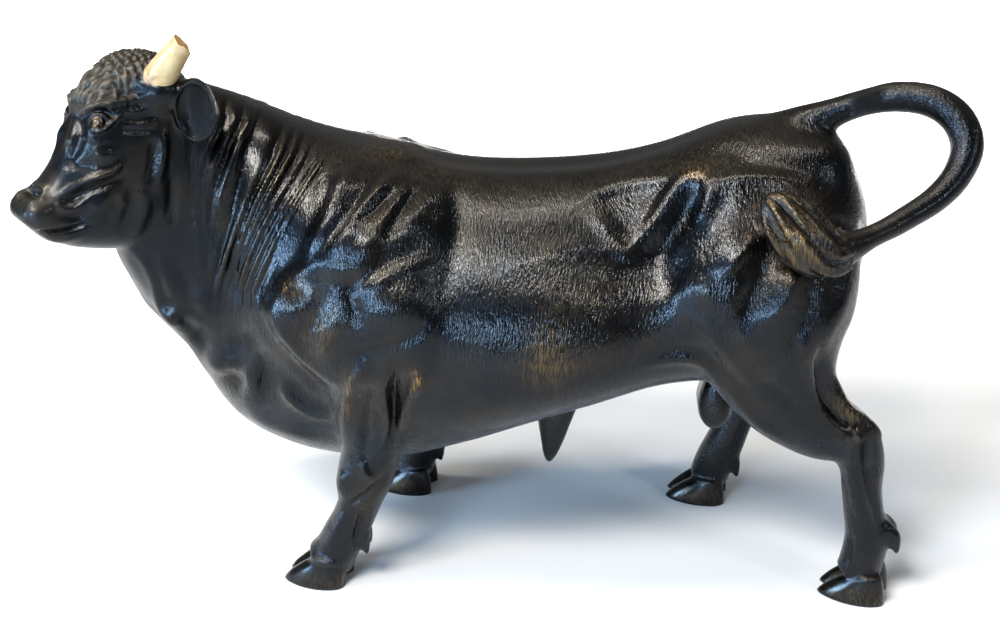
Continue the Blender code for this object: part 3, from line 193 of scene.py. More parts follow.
RIGHT_HINDLEG = [
    (98, 24, 157, 31, 16),
    (94, 33, 130, 33, 17),
    (93, 37, 110, 27.5, 16),
    (100, 40, 93, 19, 13.5),
    (110, 41, 81, 13.5, 10.5),
    (117, 41.5, 72, 10.4, 9),
    (113, 41.5, 61, 9, 8.2),
    (109, 41.5, 51, 8.2, 7.8),
    (104, 41.5, 39, 8.2, 7.8),
    (100, 41.5, 28, 9, 8.4),
    (96, 42.5, 18, 9, 8.6),
    (94, 43.5, 10, 9, 8),
]
TAIL = [
    (104, 0, 182, 9, 12),
    (117, 0, 187.5, 8, 9),
    (129, -0.5, 192.5, 6.4, 6.6),
    (141, -1.5, 197.3, 5.9, 5.9),
    (153, -4, 200.3, 6.0, 6.0),
    (165.5, -7.5, 199.5, 6.3, 6.3),
    (174.5, -12, 194, 6.5, 6.5),
    (178, -17.5, 185, 6.4, 6.4),
    (174, -23.5, 175.3, 5.7, 5.7),
    (166, -29.5, 168, 5.2, 5.2),
    (155, -36, 162.6, 4.7, 4.7),
    (143, -42.5, 158, 4.6, 4.6),
    (131, -48.5, 154, 5.0, 5.0),
    (123, -52.5, 153.5, 6.4, 6.4),
    (116, -54.5, 158, 8.8, 7.4),
    (109, -54.5, 165, 8.6, 7.0),
    (103, -53.5, 171, 5.8, 5.2),
    (99.5, -52.5, 173.5, 2.5, 2.5),
]
SHEATH = [
    (25, 0, 72, 11, 9),
    (23.5, 0, 60, 8, 7.5),
    (22.5, 0, 49, 5.4, 5),
    (21.5, 0, 41, 3.2, 3),
    (21, 0, 37, 1.4, 1.4),
]

# The tuft at the end of the tail, which carving of the body stays clear of.
TUFT_MIDDLE = np.array([111.0, -53.5, 163.0])
TUFT_RADII = np.array([18.0, 9.0, 18.0])

# Hooves: x, y, degrees turned to the left.
HOOVES = [(-74, -37, -9), (-46.5, 45.5, -8), (148.5, -35.5, -15), (89, 44, -9)]

# Dewclaws: the place on the back of each fetlock.
DEWCLAWS = [(-54.5, -39, 22), (-32, 45, 22.5), (161, -37.5, 29), (104, 42.5, 20.5)]

# Rounded masses of muscle, fat and bone: x, y, z, three radii, height; mirrored in y.
MASSES = [
    (-52, 34, 152, 24, 26, 24, 7.5),
    (-60, 44, 122, 24, 26, 26, 8.5),
    (-82, 40, 116, 13, 18, 17, 7.0),
    (-38, 46, 118, 20, 22, 18, 6.0),
    (-48, 44, 90, 16, 16, 20, 3.0),
    (-98, 18, 78, 20, 20, 22, 2.5),
    (-76, 22, 60, 20, 16, 14, 2.5),
    (74, 40, 176, 12, 14, 9, 7.0),
    (90, 42, 134, 26, 26, 28, 8.0),
    (120, 32, 134, 18, 26, 30, 3.5),
    (54, 46, 146, 20, 24, 18, -4.0),
    (126, 16, 180, 12, 12, 8, 3.0),
    (118, 11, 186, 12, 7, 8, -1.5),
    (4, 52, 112, 44, 26, 34, 3.0),
    (24, 0, 176, 60, 9, 20, -1.2),
    (147, 0, 122, 16, 8, 36, -3.5),
    (-108, 18, 165, 14, 20, 26, 2.0),
    (-133, 6, 96, 12, 20, 8, -1.7),
    (-115, 8, 72, 16, 16, 12, 1.0),
]

# Plates of muscle and hollows on the left side: their outline in reference pixels, how
# softly its edge falls in pixels, and their height.
PLATES = [
    (
        [
            (392, 152), (366, 156), (346, 168), (335, 186), (329, 206), (314, 234),
            (304, 254), (292, 274), (276, 290), (268, 312), (276, 340), (306, 366),
            (340, 386), (396, 380), (424, 366), (436, 330), (440, 292), (447, 252),
            (452, 216), (448, 190), (434, 170), (414, 156),
        ],
        10,
        2.3,
    ),
    (
        [(594, 202), (612, 192), (640, 186), (668, 187),
         (656, 206), (643, 226), (626, 243), (611, 226)],
        11,
        -1.1,
    ),
    (
        [
            (700, 176), (750, 174), (806, 184), (842, 220), (856, 270), (848, 320),
            (812, 356), (760, 372), (716, 352), (690, 316), (686, 276), (704, 240), (702, 204),
        ],
        18,
        2.2,
    ),
]

# Rounded knobs and hollows on the left side: place, two radii, degrees turned, height.
KNOBS = [
    ((290, 310), (19, 23), 0, 3.0),
    ((331, 334), (12, 22), 8, 2.2),
    ((396, 301), (30, 27), -25, 2.8),
    ((358, 246), (34, 19), -35, 2.2),
    ((420, 234), (22, 20), -35, 1.2),
    ((664, 270), (20, 26), 0, -1.8),
    ((704, 290), (12, 14), 0, 1.1),
    ((684, 294), (8, 12), 0, 0.8),
    ((726, 250), (28, 17), -45, 1.3),
    ((750, 341), (14, 10), 20, 1.1),
    ((372, 386), (18, 20), 0, 1.4),
]
CHEST_KNOBS = [
    ((176, 314), (11, 10), 0, 3.2),
    ((198, 336), (9, 8), 0, -1.6),
    ((222, 359), (14, 12), 30, 3.2),
    ((250, 378), (9, 20), 12, 2.8),
    ((240, 344), (10, 12), 0, -1.8),
    ((200, 299), (8, 14), -35, 1.6),
    ((275, 372), (12, 24), 20, -1.4),
    ((300, 400), (24, 12), 20, 1.4),
]

# Lines carved on the left side: reference pixels, width in pixels and height.
SHOULDER_LINES = [
    ([(345, 152), (370, 144), (396, 147), (416, 161), (440, 172), (470, 183)], 7, 1.2),
    ([(390, 153), (368, 159), (351, 169), (342, 182), (337, 196)], 6.5, 2.0),
    ([(338, 192), (332, 210), (321, 232), (311, 252)], 7, 2.0),
    ([(392, 164), (376, 176), (363, 191), (351, 210), (338, 230), (322, 250)], 4.2, -1.9),
    ([(410, 162), (390, 178), (372, 197), (356, 217), (340, 239), (326, 257)], 7, 1.8),
    ([(391, 190), (378, 204), (366, 215), (356, 223)], 2.9, -2.4),
    ([(406, 194), (391, 214), (376, 235), (360, 258)], 6.5, 1.8),
    ([(417, 187), (404, 205), (392, 223), (381, 240)], 3.0, -2.8),
    ([(432, 194), (417, 214), (404, 234), (393, 252)], 8, 1.4),
    ([(419, 172), (428, 175), (438, 181)], 3.6, -2.2),
    ([(457, 190), (453, 220), (447, 252), (437, 290), (420, 326)], 14, -1.8),
    ([(436, 251), (418, 262), (398, 271), (379, 282), (366, 291)], 5.5, 1.6),
    ([(314, 266), (299, 275), (284, 287), (273, 300)], 6, 1.4),
    ([(310, 262), (330, 268), (350, 272), (366, 264), (378, 252)], 7, 1.0),
    ([(352, 276), (350, 292), (355, 312), (358, 330)], 6, -2.2),
    ([(320, 290), (317, 312), (308, 334)], 5.5, -1.8),
    ([(345, 354), (372, 351), (402, 341), (424, 328)], 7, -1.6),
    ([(267, 304), (274, 324), (289, 345), (309, 364), (325, 378), (340, 388)], 3.6, 1.5),
    ([(261, 310), (267, 331), (282, 352), (302, 371), (322, 387)], 5, -1.6),
]
FLANK_LINES = [
    ([(578, 202), (600, 191), (625, 183), (655, 179), (686, 174)], 8, 1.1),
    ([(706, 167), (688, 178), (673, 194), (660, 215), (646, 233), (624, 254)], 8.5, 2.6),
    ([(588, 204), (602, 221), (614, 237), (625, 252)], 8, 1.2),
    ([(702, 186), (688, 206), (675, 228), (662, 250), (646, 266)], 9, -2.8),
    ([(710, 176), (706, 198), (700, 222)], 8, 1.8),
    ([(716, 196), (719, 218), (710, 244), (696, 262)], 9, -1.5),
    ([(640, 257), (610, 250), (580, 248), (545, 256), (510, 266)], 10, 0.8),
    ([(650, 276), (610, 276), (560, 286)], 14, -0.6),
    ([(714, 180), (744, 178), (776, 179), (806, 184)], 7, 1.5),
    ([(700, 156), (722, 151), (742, 152)], 8, -0.8),
    ([(758, 236), (747, 248), (736, 261), (722, 277)], 6, 1.8),
    ([(768, 248), (763, 272), (753, 296), (742, 320)], 11, -3.0),
    ([(794, 260), (789, 286), (780, 308), (765, 331)], 8, 2.8),
    ([(812, 274), (808, 304), (800, 330), (792, 356)], 9, -2.0),
    ([(850, 278), (840, 308), (824, 338), (811, 370)], 8, 1.4),
    ([(688, 316), (712, 334), (730, 358), (756, 388)], 6, 1.4),
    ([(644, 365), (676, 359), (700, 362), (718, 378), (730, 397)], 4, 1.8),
    ([(648, 353), (680, 349), (706, 354), (726, 376)], 6, -1.2),
]
BRISKET_LINES = [
    ([(130, 247), (144, 260), (154, 280), (161, 304), (176, 324), (192, 334)], 4.5, 2.4),
    ([(146, 257), (157, 280), (163, 298)], 6, -1.0),
    ([(158, 256), (168, 280), (175, 300)], 6, 1.6),
    ([(178, 262), (186, 284), (192, 300)], 5, -1.4),
    ([(181, 317), (192, 330), (203, 346), (206, 356)], 6, -1.6),
    ([(208, 346), (210, 360), (222, 373)], 5, 1.2),
    ([(222, 377), (236, 379), (244, 394)], 5.5, -2.0),
    ([(262, 352), (266, 374), (262, 398)], 5, -1.8),
    ([(246, 404), (262, 420), (286, 430), (310, 438)], 6, 1.2),
    ([(233, 246), (234, 272), (238, 300)], 4, -2.0),
    ([(283, 378), (285, 391), (299, 406), (317, 416), (337, 420)], 4, 2.0),
    ([(294, 376), (296, 390), (310, 402), (334, 407)], 6, -1.4),
    ([(292, 426), (312, 428), (334, 424)], 6, -1.4),
]
HIND_LEG_LINES = [
    ([(822, 346), (820, 372), (824, 396), (836, 414), (852, 428)], 5, -2.6),
    ([(834, 372), (840, 396), (852, 412), (870, 422)], 4.5, 1.8),
    ([(866, 424), (876, 430), (884, 438)], 5, 1.4),
    ([(862, 436), (866, 446), (866, 470), (872, 500), (880, 530)], 4.5, -1.8),
    ([(856, 434), (860, 440), (868, 438)], 4, 1.4),
    ([(848, 440), (850, 470), (856, 500), (862, 524)], 5, 1.0),
    ([(722, 374), (738, 400), (760, 424), (790, 444)], 6, 1.6),
    ([(800, 330), (804, 362), (814, 392)], 7, 1.6),
    ([(760, 380), (784, 398), (806, 420)], 8, -1.2),
    ([(852, 536), (850, 552), (846, 566)], 3, -1.2),
]
FORE_LEG_LINES = [
    ([(364, 366), (352, 384), (346, 410), (344, 440)], 6, 1.8),
    ([(372, 384), (366, 410), (364, 440), (366, 464)], 5, -1.8),
    ([(386, 366), (382, 392), (386, 420), (388, 448)], 5.5, 1.4),
    ([(398, 366), (394, 396), (394, 424), (386, 456)], 4.5, -2.0),
    ([(416, 372), (410, 396), (400, 424), (392, 456)], 5, 2.0),
    ([(414, 368), (419, 382), (414, 396)], 5, 1.4),
    ([(346, 470), (342, 484), (344, 500)], 7, 1.8),
    ([(348, 504), (358, 500), (372, 490), (386, 474)], 4, -1.6),
    ([(360, 462), (366, 474), (374, 482)], 5, 1.4),
    ([(364, 508), (358, 528), (354, 548)], 3.5, -1.8),
    ([(372, 506), (368, 526), (364, 546)], 3.5, 1.0),
    ([(344, 512), (336, 530), (326, 546)], 5, 1.2),
    ([(312, 556), (322, 562), (340, 564)], 4, 1.4),
]
FACE_LINES = [
    ([(76, 116), (74, 132), (70, 150)], 3.5, 0.9),
    ([(81, 112), (79, 123), (82, 136)], 3.4, -1.5),
    ([(80, 112), (85, 109), (98, 105.5), (113, 103.5), (127, 101), (146, 96)], 3, 1.7),
    ([(84, 118), (89, 112), (98, 109.5), (107, 112), (114, 118)], 2.2, -1.6),
    ([(80, 107), (90, 99), (106, 97), (122, 95), (138, 91)], 3.6, -0.8),
    ([(85, 121), (90, 116), (97, 113.8), (105, 116), (110, 121)], 1.8, 1.3),
    ([(87, 125), (92, 130.5), (99, 131.5), (106, 128), (114, 121), (122, 115)], 2.0, 1.5),
    ([(88, 131), (97, 137), (108, 134), (118, 126)], 3.0, -1.0),
    ([(120, 110), (134, 112), (152, 108)], 2.6, 0.9),
    ([(124, 117), (138, 119), (154, 116)], 2.6, -0.8),
    ([(124, 124), (140, 125), (156, 121)], 2.6, 0.8),
    ([(122, 131), (138, 131), (154, 130)], 2.6, -0.7),
    ([(61, 196), (74, 187), (88, 180), (102, 175), (114, 171), (122, 164)], 3.2, 1.9),
    ([(66, 203), (84, 193), (104, 186), (122, 177)], 4.4, -1.5),
    ([(92, 150), (104, 156), (112, 150)], 6, 0.9),
    ([(70, 164), (84, 166), (96, 164)], 6, -0.8),
    ([(54, 203), (64, 208), (76, 208), (86, 202)], 4.6, 1.5),
    ([(58, 216), (74, 217), (90, 210)], 5, -0.9),
    ([(90, 212), (102, 204), (114, 194)], 5, 0.7),
    ([(104, 222), (114, 212), (124, 200)], 5, -0.8),
    ([(122, 190), (120, 206), (112, 224)], 5, 0.7),
    ([(134, 182), (132, 204), (124, 226)], 6, -0.7),
    ([(146, 190), (144, 212), (134, 236)], 6, 0.9),
    ([(163, 132), (163, 154), (158, 182)], 5, 1.44),
    ([(154, 138), (153, 160), (147, 186)], 5.5, -1.04),
    ([(172, 176), (172, 200), (170, 226)], 5.5, -0.96),
    ([(84, 130), (78, 146), (68, 164)], 5, -1.12),
    ([(72, 130), (70, 146), (60, 166)], 4.4, 0.96),
    ([(38, 232), (46, 232.5), (60, 231), (76, 227.5), (93, 223)], 2.1, -1.92),
    ([(44, 238), (62, 239), (84, 234)], 4.4, 0.96),
]


def smooth_path(stations, steps):
    """Rows of numbers read from a smooth curve through the given rows."""
    rows = np.array(stations, float)
    padded = np.vstack([2 * rows[0] - rows[1], rows, 2 * rows[-1] - rows[-2]])
    out = []
    for i in range(len(rows) - 1):
        a, b, c, d = padded[i : i + 4]
        for t in np.linspace(0, 1, steps, endpoint=False):
            bend = (2 * a - 5 * b + 4 * c - d) * t**2
            out.append(0.5 * (2 * b + (c - a) * t + bend + (3 * b - a - 3 * c + d) * t**3))
    out.append(rows[-1])
    return np.array(out)


def signed_power(value, power):
    return np.sign(value) * np.abs(value) ** power


def fade(value, low, high):
    """Rises smoothly from 0 at low to 1 at high; low may be the larger one."""
    t = np.clip((value - low) / (high - low), 0, 1)
    return t * t * (3 - 2 * t)


def head_point(ahead, height, left=0.0):
    """A point given in the head's own frame."""
    return HEAD_PIVOT + ahead * HEAD_FORWARD + left * HEAD_LEFT + height * UP


def head_places(points):
    """How far ahead and how far to the left each point lies in the head's own frame."""
    local = points - HEAD_PIVOT
    return local @ HEAD_FORWARD, local @ HEAD_LEFT


def view_place():
    """The reference view's eye, its right and up directions, and its way in."""
    back = np.array(
        [
            math.sin(VIEW_AZIMUTH) * math.cos(VIEW_ELEVATION),
            -math.cos(VIEW_AZIMUTH) * math.cos(VIEW_ELEVATION),
            math.sin(VIEW_ELEVATION),
        ]
    )
    right = np.cross(-back, UP)
    right /= np.linalg.norm(right)
    return VIEW_TARGET + back * VIEW_DISTANCE, right, np.cross(right, -back), -back


def reference_pixels(points):
    eye, right, up, ahead = view_place()
    away = points - eye
    depth = away @ ahead
    across = VIEW_WIDTH / 2 + VIEW_FOCAL * (away @ right) / depth
    down = VIEW_HEIGHT / 2 - VIEW_FOCAL * (away @ up) / depth
    return np.stack([across, down], axis=1)


class Clay:
    """Closed shapes collected in one bmesh, in shares, to be fused into one skin."""

    def __init__(self):
        self.mesh = bmesh.new()

    def skin(self, rings):
        """A closed tube through rings of points, with a fan at each end."""
        loops = [[self.mesh.verts.new(p) for p in ring] for ring in rings]
        count = len(loops[0])
        for low, high in zip(loops, loops[1:]):
            for i in range(count):
                j = (i + 1) % count
                self.mesh.faces.new((low[i], low[j], high[j], high[i]))
        for loop, turn in ((loops[0], -1), (loops[-1], 1)):
            middle = self.mesh.verts.new(np.mean([v.co for v in loop], axis=0))
            for i in range(count):
                ends = (loop[i], loop[(i + 1) % count])
                self.mesh.faces.new((*ends[::turn], middle))

    def trunk(self, stations, steps=6, count=44, square=0.86):
        """Upright sections, each turned a little about the vertical."""
        angles = np.linspace(0, 2 * math.pi, count, endpoint=False)
        rise = signed_power(np.cos(angles), square)
        side = signed_power(np.sin(angles), square)
        rings = []
        for tx, tz, bx, bz, y, half, turn, pear in smooth_path(stations, steps):
            middle = np.array([(tx + bx) / 2, y, (tz + bz) / 2])
            lean = (tx - bx) / 2
            up = np.array([lean * math.cos(turn), lean * math.sin(turn), (tz - bz) / 2])
            left = np.array([math.sin(turn), -math.cos(turn), 0.0])
            width = half * side * (1 + pear * rise)
            rings.append(middle + np.outer(rise, up) + np.outer(width, left))
        self.skin(rings)

    def head(self, stations, steps=6, count=44, square=0.86):
        """Sections of the head across its forward direction."""
        angles = np.linspace(0, 2 * math.pi, count, endpoint=False)
        rise = signed_power(np.cos(angles), square)
        side = signed_power(np.sin(angles), square)
        rings = []
        for ta, tz, ba, bz, half, pear in smooth_path(stations, steps):
            ahead = (ta + ba) / 2 + rise * (ta - ba) / 2
            height = (tz + bz) / 2 + rise * (tz - bz) / 2
            width = half * side * (1 + pear * rise)
            flat = HEAD_PIVOT + np.outer(ahead, HEAD_FORWARD)
            rings.append(flat + np.outer(height, UP) + np.outer(width, HEAD_LEFT))
        self.skin(rings)

    def limb(self, stations, steps=5, count=24):
        """A tube with oval sections across its run."""
        path = smooth_path(stations, steps)
        points = path[:, :3]
        along = np.gradient(points, axis=0)
        angles = np.linspace(0, 2 * math.pi, count, endpoint=False)
        rings = []
        for point, run, (fore, side) in zip(points, along, path[:, 3:]):
            run = run / np.linalg.norm(run)
            across = np.array([0.0, 1.0, 0.0]) - run[1] * run
            across /= np.linalg.norm(across)
            ahead = np.cross(across, run)
            oval = np.outer(np.cos(angles) * fore, ahead) + np.outer(np.sin(angles) * side, across)
            rings.append(point + oval)
        self.skin(rings)

    def ball(self, centre, radii, pitch=0.0, turn=0.0):
        """An ellipsoid, pitched about Y and then turned about Z, in degrees."""
        place = (
            Matrix.Translation(Vector(centre))
            @ Matrix.Rotation(math.radians(turn), 4, "Z")
            @ Matrix.Rotation(math.radians(pitch), 4, "Y")
            @ Matrix.Diagonal((*radii, 1))
        )
        bmesh.ops.create_uvsphere(self.mesh, u_segments=32, v_segments=20, radius=1, matrix=place)

    def hoof(self, x, y, turn):
        """Two claws side by side, flat under the sole and low at the toe."""
        rows = [
            (-3, 0, 14.2, 6.4),
            (0.5, 0, 13.8, 6.3),
            (4, -1.5, 12.2, 5.8),
            (8, -3.5, 9.6, 5.0),
            (12, -6, 6.0, 4.0),
        ]
        angles = np.linspace(0, 2 * math.pi, 28, endpoint=False)
        for side in (-1, 1):
            spread = math.radians(turn - side * 6)
            rings = []
            for z, ahead, long, wide in rows:
                reach = signed_power(np.cos(angles), 0.9) * long + ahead
                taper = 1 - 0.22 * np.clip(np.cos(angles), 0, 1)
                across = -side * 5.4 + np.sin(angles) * wide * taper
                px = x - reach * math.cos(spread) - across * math.sin(spread)
                py = y - reach * math.sin(spread) + across * math.cos(spread)
                rings.append(np.stack([px, py, np.full_like(px, z)], axis=1))
            self.skin(rings)

    def dewclaws(self, x, y, z):
        for side in (-1, 1):
            rows = [(-4, 0, 4, 4.2), (0, 0.6, 0, 3.8), (1.6, 1.0, -4, 2.6), (2.4, 1.4, -8, 1.2)]
            self.limb([(x + a, y + side * (3.4 + b), z + c, r, r * 0.8) for a, b, c, r in rows])

    def fused(self, step):
        """The outer skin of everything collected, as points and quads in shares."""
        data = bpy.data.meshes.new("clay")
        bmesh.ops.recalc_face_normals(self.mesh, faces=self.mesh.faces)
        self.mesh.to_mesh(data)
        self.mesh.free()
        obj = bpy.data.objects.new("clay", data)
        bpy.context.scene.collection.objects.link(obj)
        remesh = obj.modifiers.new("fuse", "REMESH")
        remesh.mode = "VOXEL"
        remesh.voxel_size = step
        skin = evaluated_mesh(obj)
        bpy.data.objects.remove(obj)
        return skin


def evaluated_mesh(obj):
    graph = bpy.context.evaluated_depsgraph_get()
    return bpy.data.meshes.new_from_object(obj.evaluated_get(graph))


class Skin:
    """The points of a closed mesh, which carving moves along the surface's normals."""

    def __init__(self, mesh):
        self.mesh = mesh
        points = np.empty(len(mesh.vertices) * 3)
        mesh.vertices.foreach_get("co", points)
        self.points = points.reshape(-1, 3)
        edges = np.empty(len(mesh.edges) * 2, int)
        mesh.edges.foreach_get("vertices", edges)
        self.edges = edges.reshape(-1, 2)
        self.count = np.bincount(self.edges.ravel(), minlength=len(self.points))[:, None]
        self.measure()

    def neighbours(self, values):
        """The mean of each point's neighbours."""
        total = np.zeros_like(values)
        for axis in range(values.shape[1]):
            for one, other in ((0, 1), (1, 0)):
                total[:, axis] += np.bincount(
                    self.edges[:, one], values[self.edges[:, other], axis], len(values)
                )
        return total / self.count

    def relax(self, rounds, hold):
        """Moves each point towards the middle of its neighbours, where it isn't held."""
        free = 0.5 * (1 - hold(self.points))[:, None]
        for _ in range(rounds):
            self.points = self.points + free * (self.neighbours(self.points) - self.points)
        self.measure()

    def soften(self, rounds, where):
        """Evens out the surface where it is 1, and leaves it where it is 0."""
        free = 0.5 * np.clip(where, 0, 1)[:, None]
        for _ in range(rounds):
            self.points = self.points + free * (self.neighbours(self.points) - self.points)

    def measure(self):
        """Renews the normals, the mirrored places and the reference pixels."""
        self.mesh.vertices.foreach_set("co", self.points.ravel())
        self.mesh.update()
        normals = np.empty(len(self.mesh.vertices) * 3)
        self.mesh.vertices.foreach_get("normal", normals)
        normals = normals.reshape(-1, 3)
        for _ in range(2):
            normals = 0.5 * (normals + self.neighbours(normals))
        self.normals = normals / np.linalg.norm(normals, axis=1)[:, None]
        self.left, self.left_normals = mirrored(self.points, self.normals)
        self.pixels = reference_pixels(self.left)
        to_eye = view_place()[0] - self.left
        to_eye /= np.linalg.norm(to_eye, axis=1)[:, None]
        self.facing = np.einsum("ij,ij->i", self.left_normals, to_eye)

    def push(self, amount):
        self.points = self.points + amount[:, None] * self.normals

    def mass(self, place, radii, height):
        """A rounded swelling, or a hollow where the height is negative."""
        reach = (self.points - np.array(place)) / np.array(radii)
        self.push(height * np.exp(-np.einsum("ij,ij->i", reach, reach)))

    def plate(self, outline, edge, height, where=1.0):
        """A raised plate, or a hollow where the height is negative, inside an outline."""
        corners = np.array(outline, float)
        low = corners.min(axis=0) - edge
        high = corners.max(axis=0) + edge
        near = np.all((self.pixels > low) & (self.pixels < high), axis=1)
        spots = self.pixels[near]
        gap = np.full(len(spots), np.inf)
        inside = np.zeros(len(spots), bool)
        for a, b in zip(corners, np.roll(corners, -1, axis=0)):
            run = b - a
            t = np.clip((spots - a) @ run / (run @ run), 0, 1)
            gap = np.minimum(gap, np.linalg.norm(spots - a - np.outer(t, run), axis=1))
            crosses = (a[1] > spots[:, 1]) != (b[1] > spots[:, 1])
            reach = a[0] + (spots[:, 1] - a[1]) * run[0] / (run[1] if run[1] else 1e-9)
            inside ^= crosses & (spots[:, 0] < reach)
        amount = np.zeros(len(self.points))
        amount[near] = height * fade(np.where(inside, gap, -gap), -edge, edge)
        self.push(amount * fade(self.facing, *FACING) * where)

    def knob(self, place, radii, turn, height, where=1.0, seen=FACING):
        """A rounded knob, or a hollow where the height is negative."""
        across, down = (self.pixels - np.array(place, float)).T
        turn = math.radians(turn)
        one = (across * math.cos(turn) + down * math.sin(turn)) / radii[0]
        other = (down * math.cos(turn) - across * math.sin(turn)) / radii[1]
        amount = height * np.exp(-((one**2 + other**2) ** 1.3))
        self.push(amount * fade(self.facing, *seen) * where)

    def line(self, pixels, width, height, where=1.0, seen=FACING):
        """A ridge, or a groove where the height is negative, along a line of pixels."""
        path = smooth_path(pixels, 6)
        low = path.min(axis=0) - 3 * width
        high = path.max(axis=0) + 3 * width
        near = np.all((self.pixels > low) & (self.pixels < high), axis=1)
        spots = self.pixels[near]
        best = np.full(len(spots), np.inf)
        share = np.zeros(len(spots))
        for i in range(len(path) - 1):
            run = path[i + 1] - path[i]
            t = np.clip((spots - path[i]) @ run / (run @ run), 0, 1)
            gap = np.linalg.norm(spots - path[i] - np.outer(t, run), axis=1)
            closer = gap < best
            best[closer] = gap[closer]
            share[closer] = (i + t[closer]) / (len(path) - 1)
        taper = np.sqrt(np.clip(1.15 * np.sin(math.pi * np.clip(share, 0.02, 0.98)), 0, 1))
        amount = np.zeros(len(self.points))
        amount[near] = height * taper * np.exp(-((best / width) ** 2))
        self.push(amount * fade(self.facing, *seen) * where)

    def bulge(self, rounds):
        """How far each point stands out of its surroundings, less where it lies deep."""
        smooth = self.points
        for _ in range(rounds):
            smooth = smooth + 0.6 * (self.neighbours(smooth) - smooth)
        return np.einsum("ij,ij->i", self.points - smooth, self.normals)

    def store(self, name, values):
        """Keeps a value or a vector for each point in the mesh."""
        kind = "FLOAT_VECTOR" if values.ndim == 2 else "FLOAT"
        layer = self.mesh.attributes.new(name, kind, "POINT")
        key = "vector" if values.ndim == 2 else "value"
        layer.data.foreach_set(key, values.astype(np.float32).ravel())


def head_share(points):
    """1 on the head, 0 on the body."""
    return fade(head_places(points)[0], 8, 16)


def mirrored(points, normals):
    """The same places and normals, with those of the right side moved to the left."""
    left = points.copy()
    turned = normals.copy()
    ridge = np.interp(points[:, 0], *NECK_MIDDLE)
    on_body = (head_share(points) < 0.5) & (points[:, 1] > ridge)
    left[on_body, 1] = 2 * ridge[on_body] - points[on_body, 1]
    turned[on_body, 1] *= -1
    aside = head_places(points)[1]
    on_head = (head_share(points) >= 0.5) & (aside < 0)
    left[on_head] -= 2 * np.outer(aside[on_head], HEAD_LEFT)
    turned[on_head] -= 2 * np.outer(normals[on_head] @ HEAD_LEFT, HEAD_LEFT)
    return left, turned


def bull_clay():
    """The whole figure as overlapping closed shapes."""
    clay = Clay()
    clay.trunk(TRUNK)
    clay.head(HEAD)
    for leg in (LEFT_FORELEG, RIGHT_FORELEG, LEFT_HINDLEG, RIGHT_HINDLEG, TAIL, SHEATH):
        clay.limb(leg)
    for hoof in HOOVES:
        clay.hoof(*hoof)
    for claw in DEWCLAWS:
        clay.dewclaws(*claw)
    turn = math.degrees(HEAD_TURN)
    clay.ball(head_point(27, 209), (16, 16.5, 11), turn=turn)
    clay.ball((-50, 0, 164), (30, 20, 14))
    clay.ball((-88, -1, 76), (20, 16, 20))
    for sign in (-1, 1):
        clay.ball((90.5, 4 * sign, 70), (8, 7, 13))
        clay.ball((92, 2.5 * sign, 84), (6.5, 6, 12))
        clay.ball(head_point(46.5, 194.5, 11 * sign), (6.5, 6, 6.5), turn=turn)
        clay.ball(head_point(36, 174, 9 * sign), (12, 8.5, 18), pitch=20, turn=turn)
        clay.ball(head_point(70.5, 165.8, 6.4 * sign), (7.5, 5.8, 5.8), turn=turn)
        ahead, height, aside = HORN_FOOT[sign]
        clay.ball(head_point(ahead, height - 5, (aside - 1.5) * sign), (9, 8.5, 8), turn=turn)
        clay.ball(head_point(13, 201, 18 * sign), (6, 8, 9), turn=turn)
        out = ear_way(sign)
        open_way = math.degrees(math.atan2(out[1], out[0]))
        clay.ball(head_point(*EAR_MIDDLE, EAR_ASIDE * sign), EAR_RADII, turn=open_way)
    return clay


def held(points):
    """How firmly each point keeps its place while the skin is relaxed."""
    x, y, z = points.T
    legs = 0.7 * fade(z, 78, 58)
    tail = 0.85 * fade(x, 138, 152) * (z > 120)
    tuft = 0.85 * (z > 147) * fade(y, -46, -50) * (x > 95)
    hooves = 0.93 * fade(z, 17, 13)
    ahead, aside = head_places(points)
    head = 0.72 * fade(ahead, 22, 38)
    ear = 0.75 * fade(np.abs(aside), 18, 22) * fade(z, 178, 184)
    ear = ear * fade(ahead, 0, 4)
    low = 0.8 * fade(z, 64, 58) * (x > 14) * (x < 100)
    return np.maximum.reduce([legs, tail, tuft, hooves, head, ear, low])


def neck_folds(skin, folds, height, seed=3):
    """Upright folds of loose skin that fan out between the ears and the shoulder."""
    across, down = skin.pixels.T
    front = np.interp(down, [80, 120, 150, 200, 250, 300], [214, 214, 200, 180, 172, 170])
    back = np.interp(
        down, [80, 120, 157, 178, 203, 228, 260, 290], [362, 344, 331, 318, 303, 290, 277, 264]
    )
    share = (across - front) / (back - front)
    noise = np.random.default_rng(seed)
    spaced = share + 0.035 * np.sin(7.1 * share + 0.6) + 0.016 * np.sin(17.0 * share + 2.0)
    phase = spaced * folds + 0.5
    for reach, amount in ((105.0, 0.34), (58.0, 0.2), (30.0, 0.12)):
        slow = down / reach + noise.uniform(0, 2 * math.pi)
        phase = phase + amount * np.sin(slow + share * noise.uniform(3, 7))
    fold = np.clip(np.floor(phase).astype(int), 0, int(folds) + 2)
    place = phase - np.floor(phase)
    ends = noise.uniform(0.0, 1.0, (int(folds) + 3, 3))
    strength = 0.75 + 0.4 * ends[:, 0]
    swell = 1 + 0.35 * np.sin(down / (26 + 20 * ends[fold, 1]) + 6.3 * ends[fold, 2])
    crease = np.sin(math.pi * place) ** 0.75 * strength[fold] * swell
    profile = crease - 0.6
    spread = fade(share, -0.05, 0.06) * fade(share, 1.05, 0.93)
    spread = spread * (0.35 + 0.65 * fade(down, 95, 160)) * fade(down, 322, 256)
    spread = spread * fade(skin.left_normals[:, 2], 0.97, 0.7)
    on_body = 1 - fade(head_share(skin.points), 0.2, 0.8)
    share = spread * on_body * fade(skin.facing, 0.1, 0.45)
    skin.push(height * profile * share)
    skin.soften(FOLD_ROUNDS, share)


